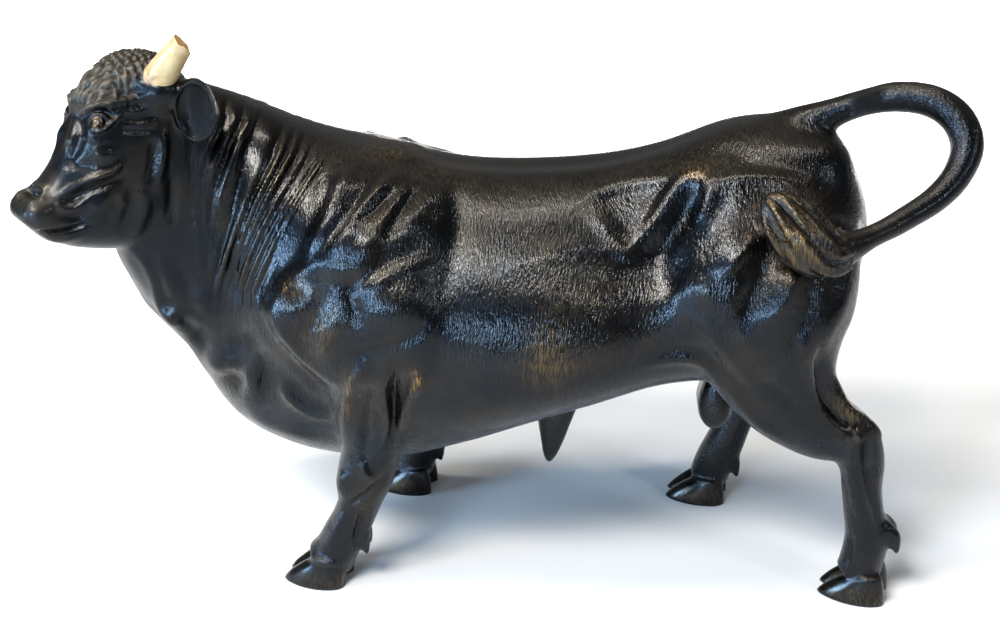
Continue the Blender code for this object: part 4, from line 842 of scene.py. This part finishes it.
def curl_patch(skin):
    """1 on the forehead and the poll, where the hair is curled."""
    ahead, aside = head_places(skin.points)
    aside = np.abs(aside)
    edge = 200 + 2.5 * fade(ahead, 30, 44) - 4 * fade(ahead, 44, 54)
    return fade(skin.points[:, 2], edge - 2, edge + 2) * fade(aside, 17, 13) * fade(ahead, 4, 10)


def curls(skin, size, height, seed=5):
    """Rounded curls over the forehead and the poll."""
    ahead, aside = head_places(skin.points)
    tall = skin.points[:, 2]
    noise = np.random.default_rng(seed)
    along = np.where(ahead < 40, ahead, 40 + (216 - tall) * 0.6)
    patch = curl_patch(skin)
    amount = np.zeros(len(tall))
    for row in range(-1, 16):
        for column in range(-7, 8):
            spot_along = 4 + row * size + noise.uniform(-0.25, 0.25) * size
            spot_aside = (column + 0.5 * (row % 2)) * size + noise.uniform(-0.25, 0.25) * size
            gap = np.hypot(along - spot_along, aside - spot_aside) / size
            lump = np.exp(-((gap / 0.42) ** 2)) - 0.5 * np.exp(-(((gap - 0.62) / 0.16) ** 2))
            amount += lump * (gap < 1.2)
    skin.push(height * amount * patch)


def eyes(skin):
    """The ball of each eye in its socket, and the nostrils beside the muzzle."""
    across, down = skin.pixels.T
    seen = fade(skin.facing, 0.0, 0.3) * (head_share(skin.points) > 0.5)
    gap = np.hypot((across - EYE[0]) / 1.2, down - EYE[1])
    socket = -1.7 * np.exp(-((gap / 10.5) ** 4))
    ball = 1.9 * np.sqrt(np.clip(1 - (gap / 7.2) ** 2, 0, 1))
    gap = np.hypot(across - IRIS[0], down - IRIS[1])
    ring = -0.4 * np.exp(-(((gap - 5.0) / 0.8) ** 2))
    pupil = -0.6 * np.exp(-((gap / 1.7) ** 2))
    skin.push(seen * (socket + ball + ring + pupil))
    along = (across - NOSTRIL[0]) * 0.93 - (down - NOSTRIL[1]) * 0.36
    beside = (across - NOSTRIL[0]) * 0.36 + (down - NOSTRIL[1]) * 0.93
    gap = np.hypot(along / 1.8, beside)
    rim = 0.7 * np.exp(-(((gap - 6.4) / 2.6) ** 2))
    skin.push(seen * fade(skin.facing, 0.25, 0.5) * (rim - 2.4 * np.exp(-((gap / 3.9) ** 4))))
    skin.soften(2, seen * fade(gap, 10, 6))


def ear_way(sign):
    """The direction in which an ear opens, between ahead and its own side."""
    out = 0.62 * HEAD_FORWARD + 0.78 * sign * HEAD_LEFT
    return out / np.linalg.norm(out)


def ears(skin):
    """Each ear is cupped, open ahead and to its own side."""
    for sign in (-1, 1):
        middle = head_point(*EAR_MIDDLE, EAR_ASIDE * sign)
        out = ear_way(sign)
        across = np.cross(UP, out)
        local = skin.points - middle
        a = (local @ across) / (EAR_RADII[1] - 1.5)
        b = (local @ UP) / (EAR_RADII[2] - 2.2)
        open_side = fade(local @ out, -1.5, 1.5)
        depth = np.clip(1 - a**2 - b**2, 0, 1) ** 0.6
        skin.points = skin.points - np.outer(5.2 * depth * open_side, out)


def tuft_locks(skin, height):
    """Locks that wind along the tuft at the end of the tail."""
    route = smooth_path(TAIL, 6)[:, :3]
    lengths = np.r_[0, np.cumsum(np.linalg.norm(np.diff(route, axis=0), axis=1))]
    near = (skin.points[:, 0] > 92) & (skin.points[:, 0] < 132) & (skin.points[:, 1] < -42)
    near = near & (skin.points[:, 2] > 140) & (skin.points[:, 2] < 182)
    spots = skin.points[near]
    gaps = np.linalg.norm(spots[:, None, :] - route[None, :, :], axis=2)
    nearest = gaps.argmin(axis=1)
    run = np.gradient(route, axis=0)[nearest]
    run = run / np.linalg.norm(run, axis=1)[:, None]
    side = np.cross(run, np.array([0.0, 1.0, 0.0]))
    side = side / np.linalg.norm(side, axis=1)[:, None]
    rise = np.cross(side, run)
    away = spots - route[nearest]
    across = np.einsum("ij,ij->i", away, side)
    toward = np.einsum("ij,ij->i", away, rise)
    along = lengths[nearest] - lengths[-1]
    turn = np.arctan2(toward, across)
    wave = np.cos(7 * turn + 0.16 * along + 0.9 * np.sin(0.2 * along))
    fine = np.cos(16 * turn + 0.3 * along)
    amount = np.zeros(len(skin.points))
    amount[near] = (wave + 0.3 * fine) * fade(along, -46, -36) * fade(along, 0.5, -5)
    amount[near] *= fade(gaps.min(axis=1), 12.0, 10.0)
    on_tuft = fade(skin.points[:, 1], -44, -47)
    skin.push(height * amount * on_tuft)


def carve(skin, folds, fine):
    """Raises and presses all the forms that show from a step away."""
    for x, y, z, long, wide, tall, height in MASSES:
        for sign in (-1, 1):
            skin.mass((x, y * sign, z), (long, wide, tall), height)
    skin.measure()
    x, y, z = skin.points.T
    on_body = fade(z, 66, 78) * (1 - head_share(skin.points))
    off_tail = fade(x, 152, 146)
    tuft_reach = (skin.points - TUFT_MIDDLE) / TUFT_RADII
    off_tail = off_tail * fade(np.linalg.norm(tuft_reach, axis=1), 0.9, 1.1)
    side = on_body * off_tail * fade(skin.left_normals[:, 2], 0.97, 0.8)
    for plate in PLATES:
        skin.plate(*plate, where=side)
    for knob in KNOBS:
        skin.knob(*knob, where=side)
    skin.measure()
    for line in SHOULDER_LINES + FLANK_LINES:
        skin.line(*line, where=side)
    skin.soften(SOFTEN_ROUNDS, side)
    skin.measure()
    on_chest = fade(x, -50, -60) * fade(z, 149, 138)
    aside = np.linalg.norm(skin.left - skin.points, axis=1)
    on_chest = on_chest * (0.3 + 0.7 * fade(aside, 8, 0))
    for knob in CHEST_KNOBS:
        skin.knob(*knob, where=on_chest, seen=CHEST_FACING)
    skin.measure()
    for line in BRISKET_LINES:
        skin.line(*line, where=on_chest, seen=CHEST_FACING)
    skin.soften(SOFTEN_ROUNDS, on_chest)
    near_leg = fade(y, -18, -24)
    for line in FORE_LEG_LINES + HIND_LEG_LINES:
        skin.line(*line, where=near_leg)
    on_head = head_share(skin.points)
    for line in FACE_LINES:
        skin.line(*line, where=on_head)
    neck_folds(skin, folds, FOLD_HEIGHT)
    eyes(skin)
    curls(skin, fine, CURL_HEIGHT)
    ears(skin)
    tuft_locks(skin, LOCK_HEIGHT)
    skin.measure()


def decimated(mesh, triangles):
    """The same surface with fewer triangles, most of them where it bends most."""
    obj = bpy.data.objects.new("dense", mesh)
    bpy.context.scene.collection.objects.link(obj)
    mesh.update()
    now = sum(len(face.vertices) - 2 for face in mesh.polygons)
    thin = obj.modifiers.new("thin", "DECIMATE")
    thin.ratio = triangles / now
    thin.use_collapse_triangulate = True
    light = evaluated_mesh(obj)
    bpy.data.objects.remove(obj)
    return light


def drop_crumbs(cut):
    """Deletes every loose crumb of surface beside the one large one."""
    unseen = set(cut.verts)
    pieces = []
    while unseen:
        edge_of_piece = [unseen.pop()]
        piece = set(edge_of_piece)
        while edge_of_piece:
            vert = edge_of_piece.pop()
            for edge in vert.link_edges:
                other = edge.other_vert(vert)
                if other not in piece:
                    piece.add(other)
                    edge_of_piece.append(other)
        unseen -= piece
        pieces.append(piece)
    pieces.sort(key=len)
    for piece in pieces[:-1]:
        if len(piece) < 20:
            bmesh.ops.delete(cut, geom=list(piece), context="VERTS")


def flat_soles(mesh):
    """Cuts the hooves off flat at the ground."""
    cut = bmesh.new()
    cut.from_mesh(mesh)
    drop_crumbs(cut)
    for vert in cut.verts:
        if abs(vert.co.z) < 0.35:
            vert.co.z = 0.0
    every = cut.verts[:] + cut.edges[:] + cut.faces[:]
    bmesh.ops.bisect_plane(
        cut, geom=every, dist=1e-5, plane_co=(0, 0, 0), plane_no=(0, 0, 1), clear_inner=True
    )
    rim = [edge for edge in cut.edges if edge.is_boundary]
    bmesh.ops.holes_fill(cut, edges=rim, sides=0)
    bmesh.ops.triangulate(cut, faces=cut.faces)
    bmesh.ops.recalc_face_normals(cut, faces=cut.faces)
    cut.to_mesh(mesh)
    cut.free()
    mesh.update()


def horn_frame(sign):
    """The middle of a horn's foot and its direction, on the left or the right side."""
    ahead, height, aside = HORN_FOOT[sign]
    foot = head_point(ahead, height, aside * sign)
    back, rise, out = HORN_LEAN[sign]
    lean = back * HEAD_FORWARD + rise * UP + out * sign * HEAD_LEFT
    return foot, lean / np.linalg.norm(lean)


# Spots worn to bright metal: reference pixels, radii in pixels and strength.
WORN_SPOTS = [
    ((392, 152), (40, 9), 0.55),
    ((440, 170), (34, 10), 0.3),
    ((696, 168), (20, 9), 0.6),
    ((292, 290), (16, 14), 0.3),
    ((318, 330), (20, 26), 0.3),
    ((416, 380), (6, 9), 0.8),
    ((548, 352), (26, 34), 0.42),
    ((600, 300), (70, 60), 0.1),
    ((850, 410), (16, 26), 0.35),
    ((798, 230), (38, 36), 0.62),
    ((346, 395), (5, 24), 0.35),
]


def wear(skin):
    """0 where the patina is whole, 1 where handling has worn it to bright metal."""
    amount = np.zeros(len(skin.points))
    for (px, py), (wide, tall), strength in WORN_SPOTS:
        reach = ((skin.pixels[:, 0] - px) / wide) ** 2 + ((skin.pixels[:, 1] - py) / tall) ** 2
        amount += strength * np.exp(-reach)
    amount *= fade(skin.facing, -0.1, 0.3)
    ridge = fade(skin.bulge(6), 0.05, 0.3) * (1 - head_share(skin.points))
    hoof = fade(skin.points[:, 2], 10, 6)
    gap = np.hypot(skin.pixels[:, 0] - IRIS[0], skin.pixels[:, 1] - IRIS[1])
    iris = np.exp(-(((gap - 3.6) / 1.3) ** 2)) * fade(skin.facing, 0, 0.3)
    amount = amount + 0.8 * iris * head_share(skin.points)
    return np.clip(amount * (0.6 + 0.8 * ridge) + 0.1 * ridge + 0.1 * hoof, 0, 1)


def grain(skin):
    """Places along and across the hair, in shares, so that strokes can follow its flow."""
    x, y, z = skin.points.T
    ridge = np.interp(x, *NECK_MIDDLE)
    down = np.abs(y - ridge) + 1.1 * (180 - z)
    slant = 0.55 * fade(down, 60, 5) + 0.14
    lean = np.interp(x, [-110, -60, 40, 90, 130], [-0.15, 0.0, 1.0, 0.3, -0.9])
    across = x + slant * lean * down + 0.6 * np.abs(y - ridge) * fade(np.abs(x), 95, 130)
    body = np.stack([across, 0.12 * y, down / 6.0], axis=1)
    turn = np.abs(y) * 1.0
    leg = np.stack([x + 0.25 * z, turn, z / 6.0], axis=1)
    on_leg = fade(z, 78, 62)[:, None]
    ahead, aside = head_places(skin.points)
    along = 0.62 * ahead - 0.78 * z
    head = np.stack([0.78 * ahead + 0.62 * z, aside, along / 4.0], axis=1)
    on_head = head_share(skin.points)[:, None]
    route = smooth_path(TAIL, 8)[:, :3]
    gaps = np.linalg.norm(skin.points[:, None, :] - route[None, ::2, :], axis=2)
    nearest = gaps.argmin(axis=1)
    lengths = np.r_[0, np.cumsum(np.linalg.norm(np.diff(route[::2], axis=0), axis=1))]
    tail = np.stack([y * 1.2, 0.8 * (x + z), lengths[nearest] / 6.0], axis=1)
    on_tail = (fade(x, 136, 146) * fade(z, 140, 150))[:, None]
    near_tail = (gaps.min(axis=1) < 9)[:, None]
    on_tail = np.where(near_tail & (y < -38)[:, None], 1.0, on_tail) * near_tail
    mixed = body * (1 - on_leg) + leg * on_leg
    mixed = mixed * (1 - on_head) + head * on_head
    return mixed * (1 - on_tail) + tail * on_tail


def hair(skin):
    """How strongly the hair strokes are cut: none on hooves and the muzzle, less on the head and
    the neck folds.
    """
    hoof = fade(skin.points[:, 2], 9, 12)
    muzzle = fade(head_places(skin.points)[0], 66, 58)
    head = 1 - 0.55 * head_share(skin.points)
    across, down = skin.pixels.T
    folds = fade(across, 360, 300) * fade(down, 330, 280) * (1 - head_share(skin.points))
    return hoof * muzzle * head * (1 - 0.45 * folds)


def matte(skin):
    """How dull the metal is: most on the curls, less on the muzzle, a little on the face."""
    muzzle = fade(head_places(skin.points)[0], 58, 66)
    face = (0.35 + 0.3 * muzzle) * head_share(skin.points)
    return np.maximum(curl_patch(skin), face)


def body_mesh():
    mesh = bull_clay().fused(SKIN_STEP)
    skin = Skin(mesh)
    skin.relax(RELAX_ROUNDS, held)
    carve(skin, NECK_FOLDS, CURL_SIZE)
    skin.measure()
    skin.store("grain", grain(skin))
    skin.store("wear", wear(skin))
    skin.store("hair", hair(skin))
    skin.store("matte", matte(skin))
    # Painted shade: how deep each point lies in a hollow, which darkens the bronze there.
    skin.store("hollow", fade(skin.bulge(14), 0.05, -0.35))
    light = decimated(mesh, BODY_TRIANGLES)
    flat_soles(light)
    light.transform(Matrix.Scale(SHARE, 4))
    light.shade_smooth()
    return light


class Nodes:
    """A material's node tree, with short calls to add nodes and links."""

    def __init__(self, name):
        self.material = bpy.data.materials.new(name)
        self.material.use_nodes = True
        self.tree = self.material.node_tree
        self.shader = self.tree.nodes["Principled BSDF"]

    def add(self, kind, inputs=(), **settings):
        node = self.tree.nodes.new(kind)
        for key, value in settings.items():
            setattr(node, key, value)
        for key, value in dict(inputs).items():
            if isinstance(value, bpy.types.NodeSocket):
                self.tree.links.new(value, node.inputs[key])
            else:
                node.inputs[key].default_value = value
        return node

    def attribute(self, name, output="Fac"):
        return self.add("ShaderNodeAttribute", attribute_name=name).outputs[output]

    def math(self, operation, one, other=0.0):
        return self.add("ShaderNodeMath", {0: one, 1: other}, operation=operation).outputs[0]

    def noise(self, place, scale, detail=2.0, roughness=0.5):
        values = {"Vector": place, "Scale": scale, "Detail": detail, "Roughness": roughness}
        return self.add("ShaderNodeTexNoise", values).outputs["Fac"]

    def stretch(self, value, low, high, to_low=0.0, to_high=1.0):
        values = {"Value": value, "From Min": low, "From Max": high,
                  "To Min": to_low, "To Max": to_high}
        return self.add("ShaderNodeMapRange", values).outputs["Result"]

    def mix(self, share, one, other):
        node = self.add("ShaderNodeMix", data_type="RGBA")
        for index, value in ((0, share), (6, one), (7, other)):
            if isinstance(value, bpy.types.NodeSocket):
                self.tree.links.new(value, node.inputs[index])
            else:
                node.inputs[index].default_value = value
        return node.outputs[2]

    def bump(self, height, distance, strength=1.0, normal=None):
        values = {"Height": height, "Distance": distance, "Strength": strength}
        if normal is not None:
            values["Normal"] = normal
        return self.add("ShaderNodeBump", values).outputs["Normal"]

    def link(self, value, key):
        self.tree.links.new(value, self.shader.inputs[key])


def bronze_material():
    """Near-black patina with cut hair strokes, worn to brown gold on high points; a painted sheen
    on upward-facing surfaces and painted shade in hollows.
    """
    made = Nodes("bronze")
    flow = made.attribute("grain", "Vector")
    worn = made.attribute("wear")
    cut = made.attribute("hair")
    hollow = made.attribute("hollow")
    place = made.add("ShaderNodeTexCoord").outputs["Object"]
    fine = made.noise(flow, 1.5, 2.0, 0.55)
    coarse = made.noise(flow, 0.5, 2.0, 0.5)
    strokes = made.stretch(fine, 0.36, 0.64)
    wide = made.stretch(coarse, 0.35, 0.65)
    height = made.math(
        "ADD", made.math("MULTIPLY", strokes, 0.7), made.math("MULTIPLY", wide, 0.22)
    )
    height = made.math("MULTIPLY", height, cut)
    pits = made.noise(place, 900.0, 2.0, 0.5)
    height = made.math("ADD", height, made.math("MULTIPLY", pits, 0.04))
    made.link(made.bump(height, 0.00015, 1.0), "Normal")
    cloud = made.noise(place, 38.0, 4.0, 0.6)
    black = (0.0066, 0.0083, 0.0112, 1)
    brown = (0.016, 0.0145, 0.012, 1)
    khaki = (0.045, 0.038, 0.028, 1)
    gold = (0.36, 0.22, 0.075, 1)
    curled = (0.06, 0.054, 0.045, 1)
    patina = made.mix(made.stretch(cloud, 0.45, 0.72), black, brown)
    # Upward-facing surfaces are mixed towards khaki: partly dust, partly a painted sheen of the
    # light from above.
    facing = made.add("ShaderNodeNewGeometry").outputs["Normal"]
    upward = made.add("ShaderNodeSeparateXYZ", {0: facing}).outputs["Z"]
    dust_and_sheen = made.stretch(
        made.math("ADD", upward, made.stretch(strokes, 0.0, 1.0, -0.08, 0.08)), 0.5, 0.98
    )
    dust_and_sheen = made.math("MULTIPLY", made.math("POWER", dust_and_sheen, 1.6), 0.8)
    patina = made.mix(dust_and_sheen, patina, khaki)
    matte = made.attribute("matte")
    patina = made.mix(made.stretch(matte, 0.5, 1.0), patina, curled)
    rubbed = made.math(
        "MULTIPLY", made.stretch(strokes, 0.35, 0.95), made.stretch(cloud, 0.3, 0.6, 0.5, 1.0)
    )
    bright = made.math("MULTIPLY", worn, made.math("ADD", made.math("MULTIPLY", rubbed, 0.9), 0.1))
    colour = made.mix(bright, patina, gold)
    # Painted shade: hollows darkened towards near-black.
    colour = made.mix(made.math("MULTIPLY", hollow, 0.7), colour, (0.006, 0.006, 0.007, 1))
    made.link(colour, "Base Color")
    dull = made.stretch(made.noise(place, 120.0, 3.0), 0.35, 0.7, 0.24, 0.35)
    rough = made.math("ADD", dull, made.math("MULTIPLY", matte, 0.25))
    made.link(made.math("ADD", rough, made.math("MULTIPLY", dust_and_sheen, 0.2)), "Roughness")
    made.shader.inputs["Metallic"].default_value = 1.0
    made.link(made.math("MULTIPLY", made.math("SUBTRACT", 1.0, matte), 0.28), "Coat Weight")
    made.shader.inputs["Coat Roughness"].default_value = 0.14
    made.shader.inputs["Coat IOR"].default_value = 1.5
    made.tree.links.new(
        made.shader.inputs["Normal"].links[0].from_socket, made.shader.inputs["Coat Normal"]
    )
    return made.material


def horn_material():
    """Cream bone or horn, dirty at its foot and yellow where it is broken."""
    made = Nodes("horn")
    place = made.add("ShaderNodeTexCoord").outputs["Object"]
    foot = made.attribute("foot")
    broken = made.attribute("broken")
    spots = made.noise(place, 420.0, 4.0, 0.65)
    cloud = made.noise(place, 120.0, 3.0, 0.5)
    cream = (0.4, 0.3, 0.155, 1)
    yellow = (0.4, 0.22, 0.06, 1)
    brown = (0.13, 0.06, 0.02, 1)
    colour = made.mix(made.stretch(cloud, 0.35, 0.7), cream, (0.27, 0.175, 0.075, 1))
    colour = made.mix(broken, colour, yellow)
    dirt = made.math("MULTIPLY", foot, made.stretch(spots, 0.45, 0.6))
    specks = made.math("MULTIPLY", made.stretch(spots, 0.66, 0.72), 0.6)
    colour = made.mix(made.math("MAXIMUM", dirt, specks), colour, brown)
    made.link(colour, "Base Color")
    made.link(made.stretch(cloud, 0.3, 0.7, 0.32, 0.5), "Roughness")
    made.link(made.bump(spots, 0.0003, 0.5), "Normal")
    made.shader.inputs["Subsurface Weight"].default_value = 0.2
    made.shader.inputs["Subsurface Radius"].default_value = (0.002, 0.0012, 0.0006)
    return made.material


def detailed_horn(name, length, sign):
    """A horn tapering a little to its end, which is broken off obliquely and chipped."""
    foot, lean = horn_frame(sign)
    across = np.cross(lean, HEAD_FORWARD)
    across /= np.linalg.norm(across)
    beside = np.cross(lean, across)
    tip = HORN_BASE_RADIUS + (HORN_TIP_RADIUS - HORN_BASE_RADIUS) * length / HORN_LENGTH
    noise = np.random.default_rng(11 + sign)
    ripple = noise.uniform(0, 2 * math.pi, 6)
    count = 96
    angles = np.linspace(0, 2 * math.pi, count, endpoint=False)
    slant = np.minimum(-BREAK_SLANT * tip * np.sin(angles), BREAK_TOP * tip)
    chips = 0.00022 * np.sin(3 * angles + ripple[0]) + 0.00016 * np.sin(7 * angles + ripple[1])
    chips = chips - 0.0007 * np.exp(-(((angles - 1.2) / 0.22) ** 2))
    loops = []
    marks = []
    for share in np.linspace(-0.16, 1.0, 40):
        along = length * share if share > 0 else 0.02 * share
        radius = HORN_BASE_RADIUS + (tip - HORN_BASE_RADIUS) * max(share, 0)
        wave = 0.00006 * np.sin(4 * angles + ripple[2] + 3 * share)
        wave = wave + 0.00005 * np.sin(26 * share + ripple[3])
        bend = 0.0018 * (max(along, 0) / HORN_LENGTH) ** 2
        rise = along + (slant + chips) * max(share, 0) ** 3
        loops.append((rise, radius + wave, bend))
        marks.append((1 - min(max(share, 0) / 0.35, 1), 0.0))
    rise, radius, bend = loops[-1]
    for inward in (0.93, 0.8, 0.6, 0.35, 0.12):
        rough = (0.00028 * (1 - inward) * np.sin(5 * angles + ripple[4])
                 - 0.0006 * (1 - inward) ** 0.5)
        level = rise.mean() + (rise - rise.mean()) * inward + rough
        loops.append((level, radius * inward, bend))
        marks.append((0.12, 1.0))
    mesh = bmesh.new()
    rings = []
    for rise, radius, bend in loops:
        ring = []
        for k in range(count):
            place = foot * SHARE + lean * rise[k]
            place = place + across * (math.cos(angles[k]) * radius[k] + bend)
            place = place + beside * (math.sin(angles[k]) * radius[k])
            ring.append(mesh.verts.new(place))
        rings.append(ring)
    for low, high in zip(rings, rings[1:]):
        for k in range(count):
            j = (k + 1) % count
            mesh.faces.new((low[k], low[j], high[j], high[k]))
    mesh.faces.new(rings[0][::-1])
    mesh.faces.new(rings[-1])
    bmesh.ops.recalc_face_normals(mesh, faces=mesh.faces)
    data = bpy.data.meshes.new(name)
    mesh.to_mesh(data)
    mesh.free()
    for index, key in enumerate(("foot", "broken")):
        values = np.repeat([mark[index] for mark in marks], count)
        layer = data.attributes.new(key, "FLOAT", "POINT")
        layer.data.foreach_set("value", values.astype(np.float32))
    data.shade_smooth()
    data.set_sharp_from_angle(angle=math.radians(40))
    return data


def add_piece(name, mesh, made, node):
    """A piece in its place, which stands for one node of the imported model."""
    piece = bpy.data.objects.new(name, mesh)
    bpy.context.scene.collection.objects.link(piece)
    mesh.materials.clear()
    mesh.materials.append(made)
    mesh.transform(Matrix.Translation(shift))
    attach(piece, "root")
    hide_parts(node)
    return piece


def floor_material():
    made = Nodes("floor")
    made.shader.inputs["Base Color"].default_value = (0.68, 0.68, 0.68, 1)
    made.shader.inputs["Roughness"].default_value = 0.7
    return made.material


def add_floor():
    mesh = bmesh.new()
    bmesh.ops.create_circle(mesh, cap_ends=True, radius=5.0, segments=64)
    data = bpy.data.meshes.new("floor")
    mesh.to_mesh(data)
    mesh.free()
    floor = bpy.data.objects.new("floor", data)
    bpy.context.scene.collection.objects.link(floor)
    floor.location.z = -0.0004
    data.materials.append(floor_material())


# Soft boxes: name, place, aim, size, power, colour and spread in degrees.
BULL_MIDDLE = (0, 0, 0.1)
LIGHTS = [
    ("key", (-0.5, -0.9, 1.25), BULL_MIDDLE, (0.6, 0.32), 34, (1.0, 0.97, 0.92), 180),
    ("overhead", (0.05, -0.12, 1.25), BULL_MIDDLE, (0.5, 0.06), 6, (1.0, 0.95, 0.87), 180),
    ("overhead_left", (-0.75, -0.15, 1.1), BULL_MIDDLE, (0.4, 0.09), 12, (1.0, 0.95, 0.86), 180),
    ("window_left", (-1.4, -0.65, 0.3), BULL_MIDDLE, (0.5, 0.3), 24, (0.42, 0.68, 1.0), 180),
    ("window_front", (-0.7, -1.45, 0.42), BULL_MIDDLE, (0.36, 0.3), 24, (0.45, 0.7, 1.0), 180),
    ("side", (1.3, -0.9, 0.8), BULL_MIDDLE, (0.1, 0.3), 5, (0.8, 0.9, 1.0), 180),
    ("behind", (0, 1.45, 1.6), (0, 1.45, 0), (2.6, 0.9), 75, (1.0, 0.99, 0.97), 60),
]


def add_light(name, place, aim, size, power, colour, spread):
    """A soft box: an area light at a place, turned to an aim, with its spread in degrees."""
    light = bpy.data.lights.new(name, "AREA")
    light.shape = "RECTANGLE"
    light.size, light.size_y = size
    light.energy = power
    light.color = colour
    light.spread = math.radians(spread)
    lamp = bpy.data.objects.new(name, light)
    bpy.context.scene.collection.objects.link(lamp)
    lamp.location = place
    way = Vector(aim) - Vector(place)
    lamp.rotation_euler = way.to_track_quat("-Z", "Y").to_euler()


def add_camera():
    """The reference view."""
    data = bpy.data.cameras.new("camera")
    camera = bpy.data.objects.new("camera", data)
    bpy.context.scene.collection.objects.link(camera)
    eye, right, up, ahead = view_place()
    data.sensor_width = 36
    data.lens = 36 * VIEW_FOCAL / VIEW_WIDTH
    data.clip_start = 0.02
    data.clip_end = 30
    camera.location = Vector(eye * SHARE) + shift
    camera.rotation_euler = Vector(ahead).to_track_quat("-Z", "Y").to_euler()
    bpy.context.scene.camera = camera


def add_world():
    world = bpy.data.worlds.new("world")
    world.use_nodes = True
    world.node_tree.nodes["Background"].inputs["Color"].default_value = (0.92, 0.95, 1.0, 1)
    world.node_tree.nodes["Background"].inputs["Strength"].default_value = 0.22
    bpy.context.scene.world = world


body = body_mesh()
corners = np.array([vert.co for vert in body.vertices])
body_middle = (corners.min(axis=0) + corners.max(axis=0)) / 2
low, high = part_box("cast_bull")
shift = Vector(((low.x + high.x) / 2 - body_middle[0], (low.y + high.y) / 2 - body_middle[1], 0))

bronze = bronze_material()
horn = horn_material()
add_piece("bull_casting", body, bronze, "cast_bull")
left_horn = detailed_horn("left_horn", HORN_LENGTH, 1)
right_stump = detailed_horn("right_horn_stump", HORN_STUMP_LENGTH, -1)
add_piece("left_horn", left_horn, horn, "horn_left")
add_piece("right_horn_stump", right_stump, horn, "horn_stump_right")

add_floor()
add_world()
for row in LIGHTS:
    add_light(*row)
add_camera()
bpy.context.scene.view_settings.view_transform = "Standard"
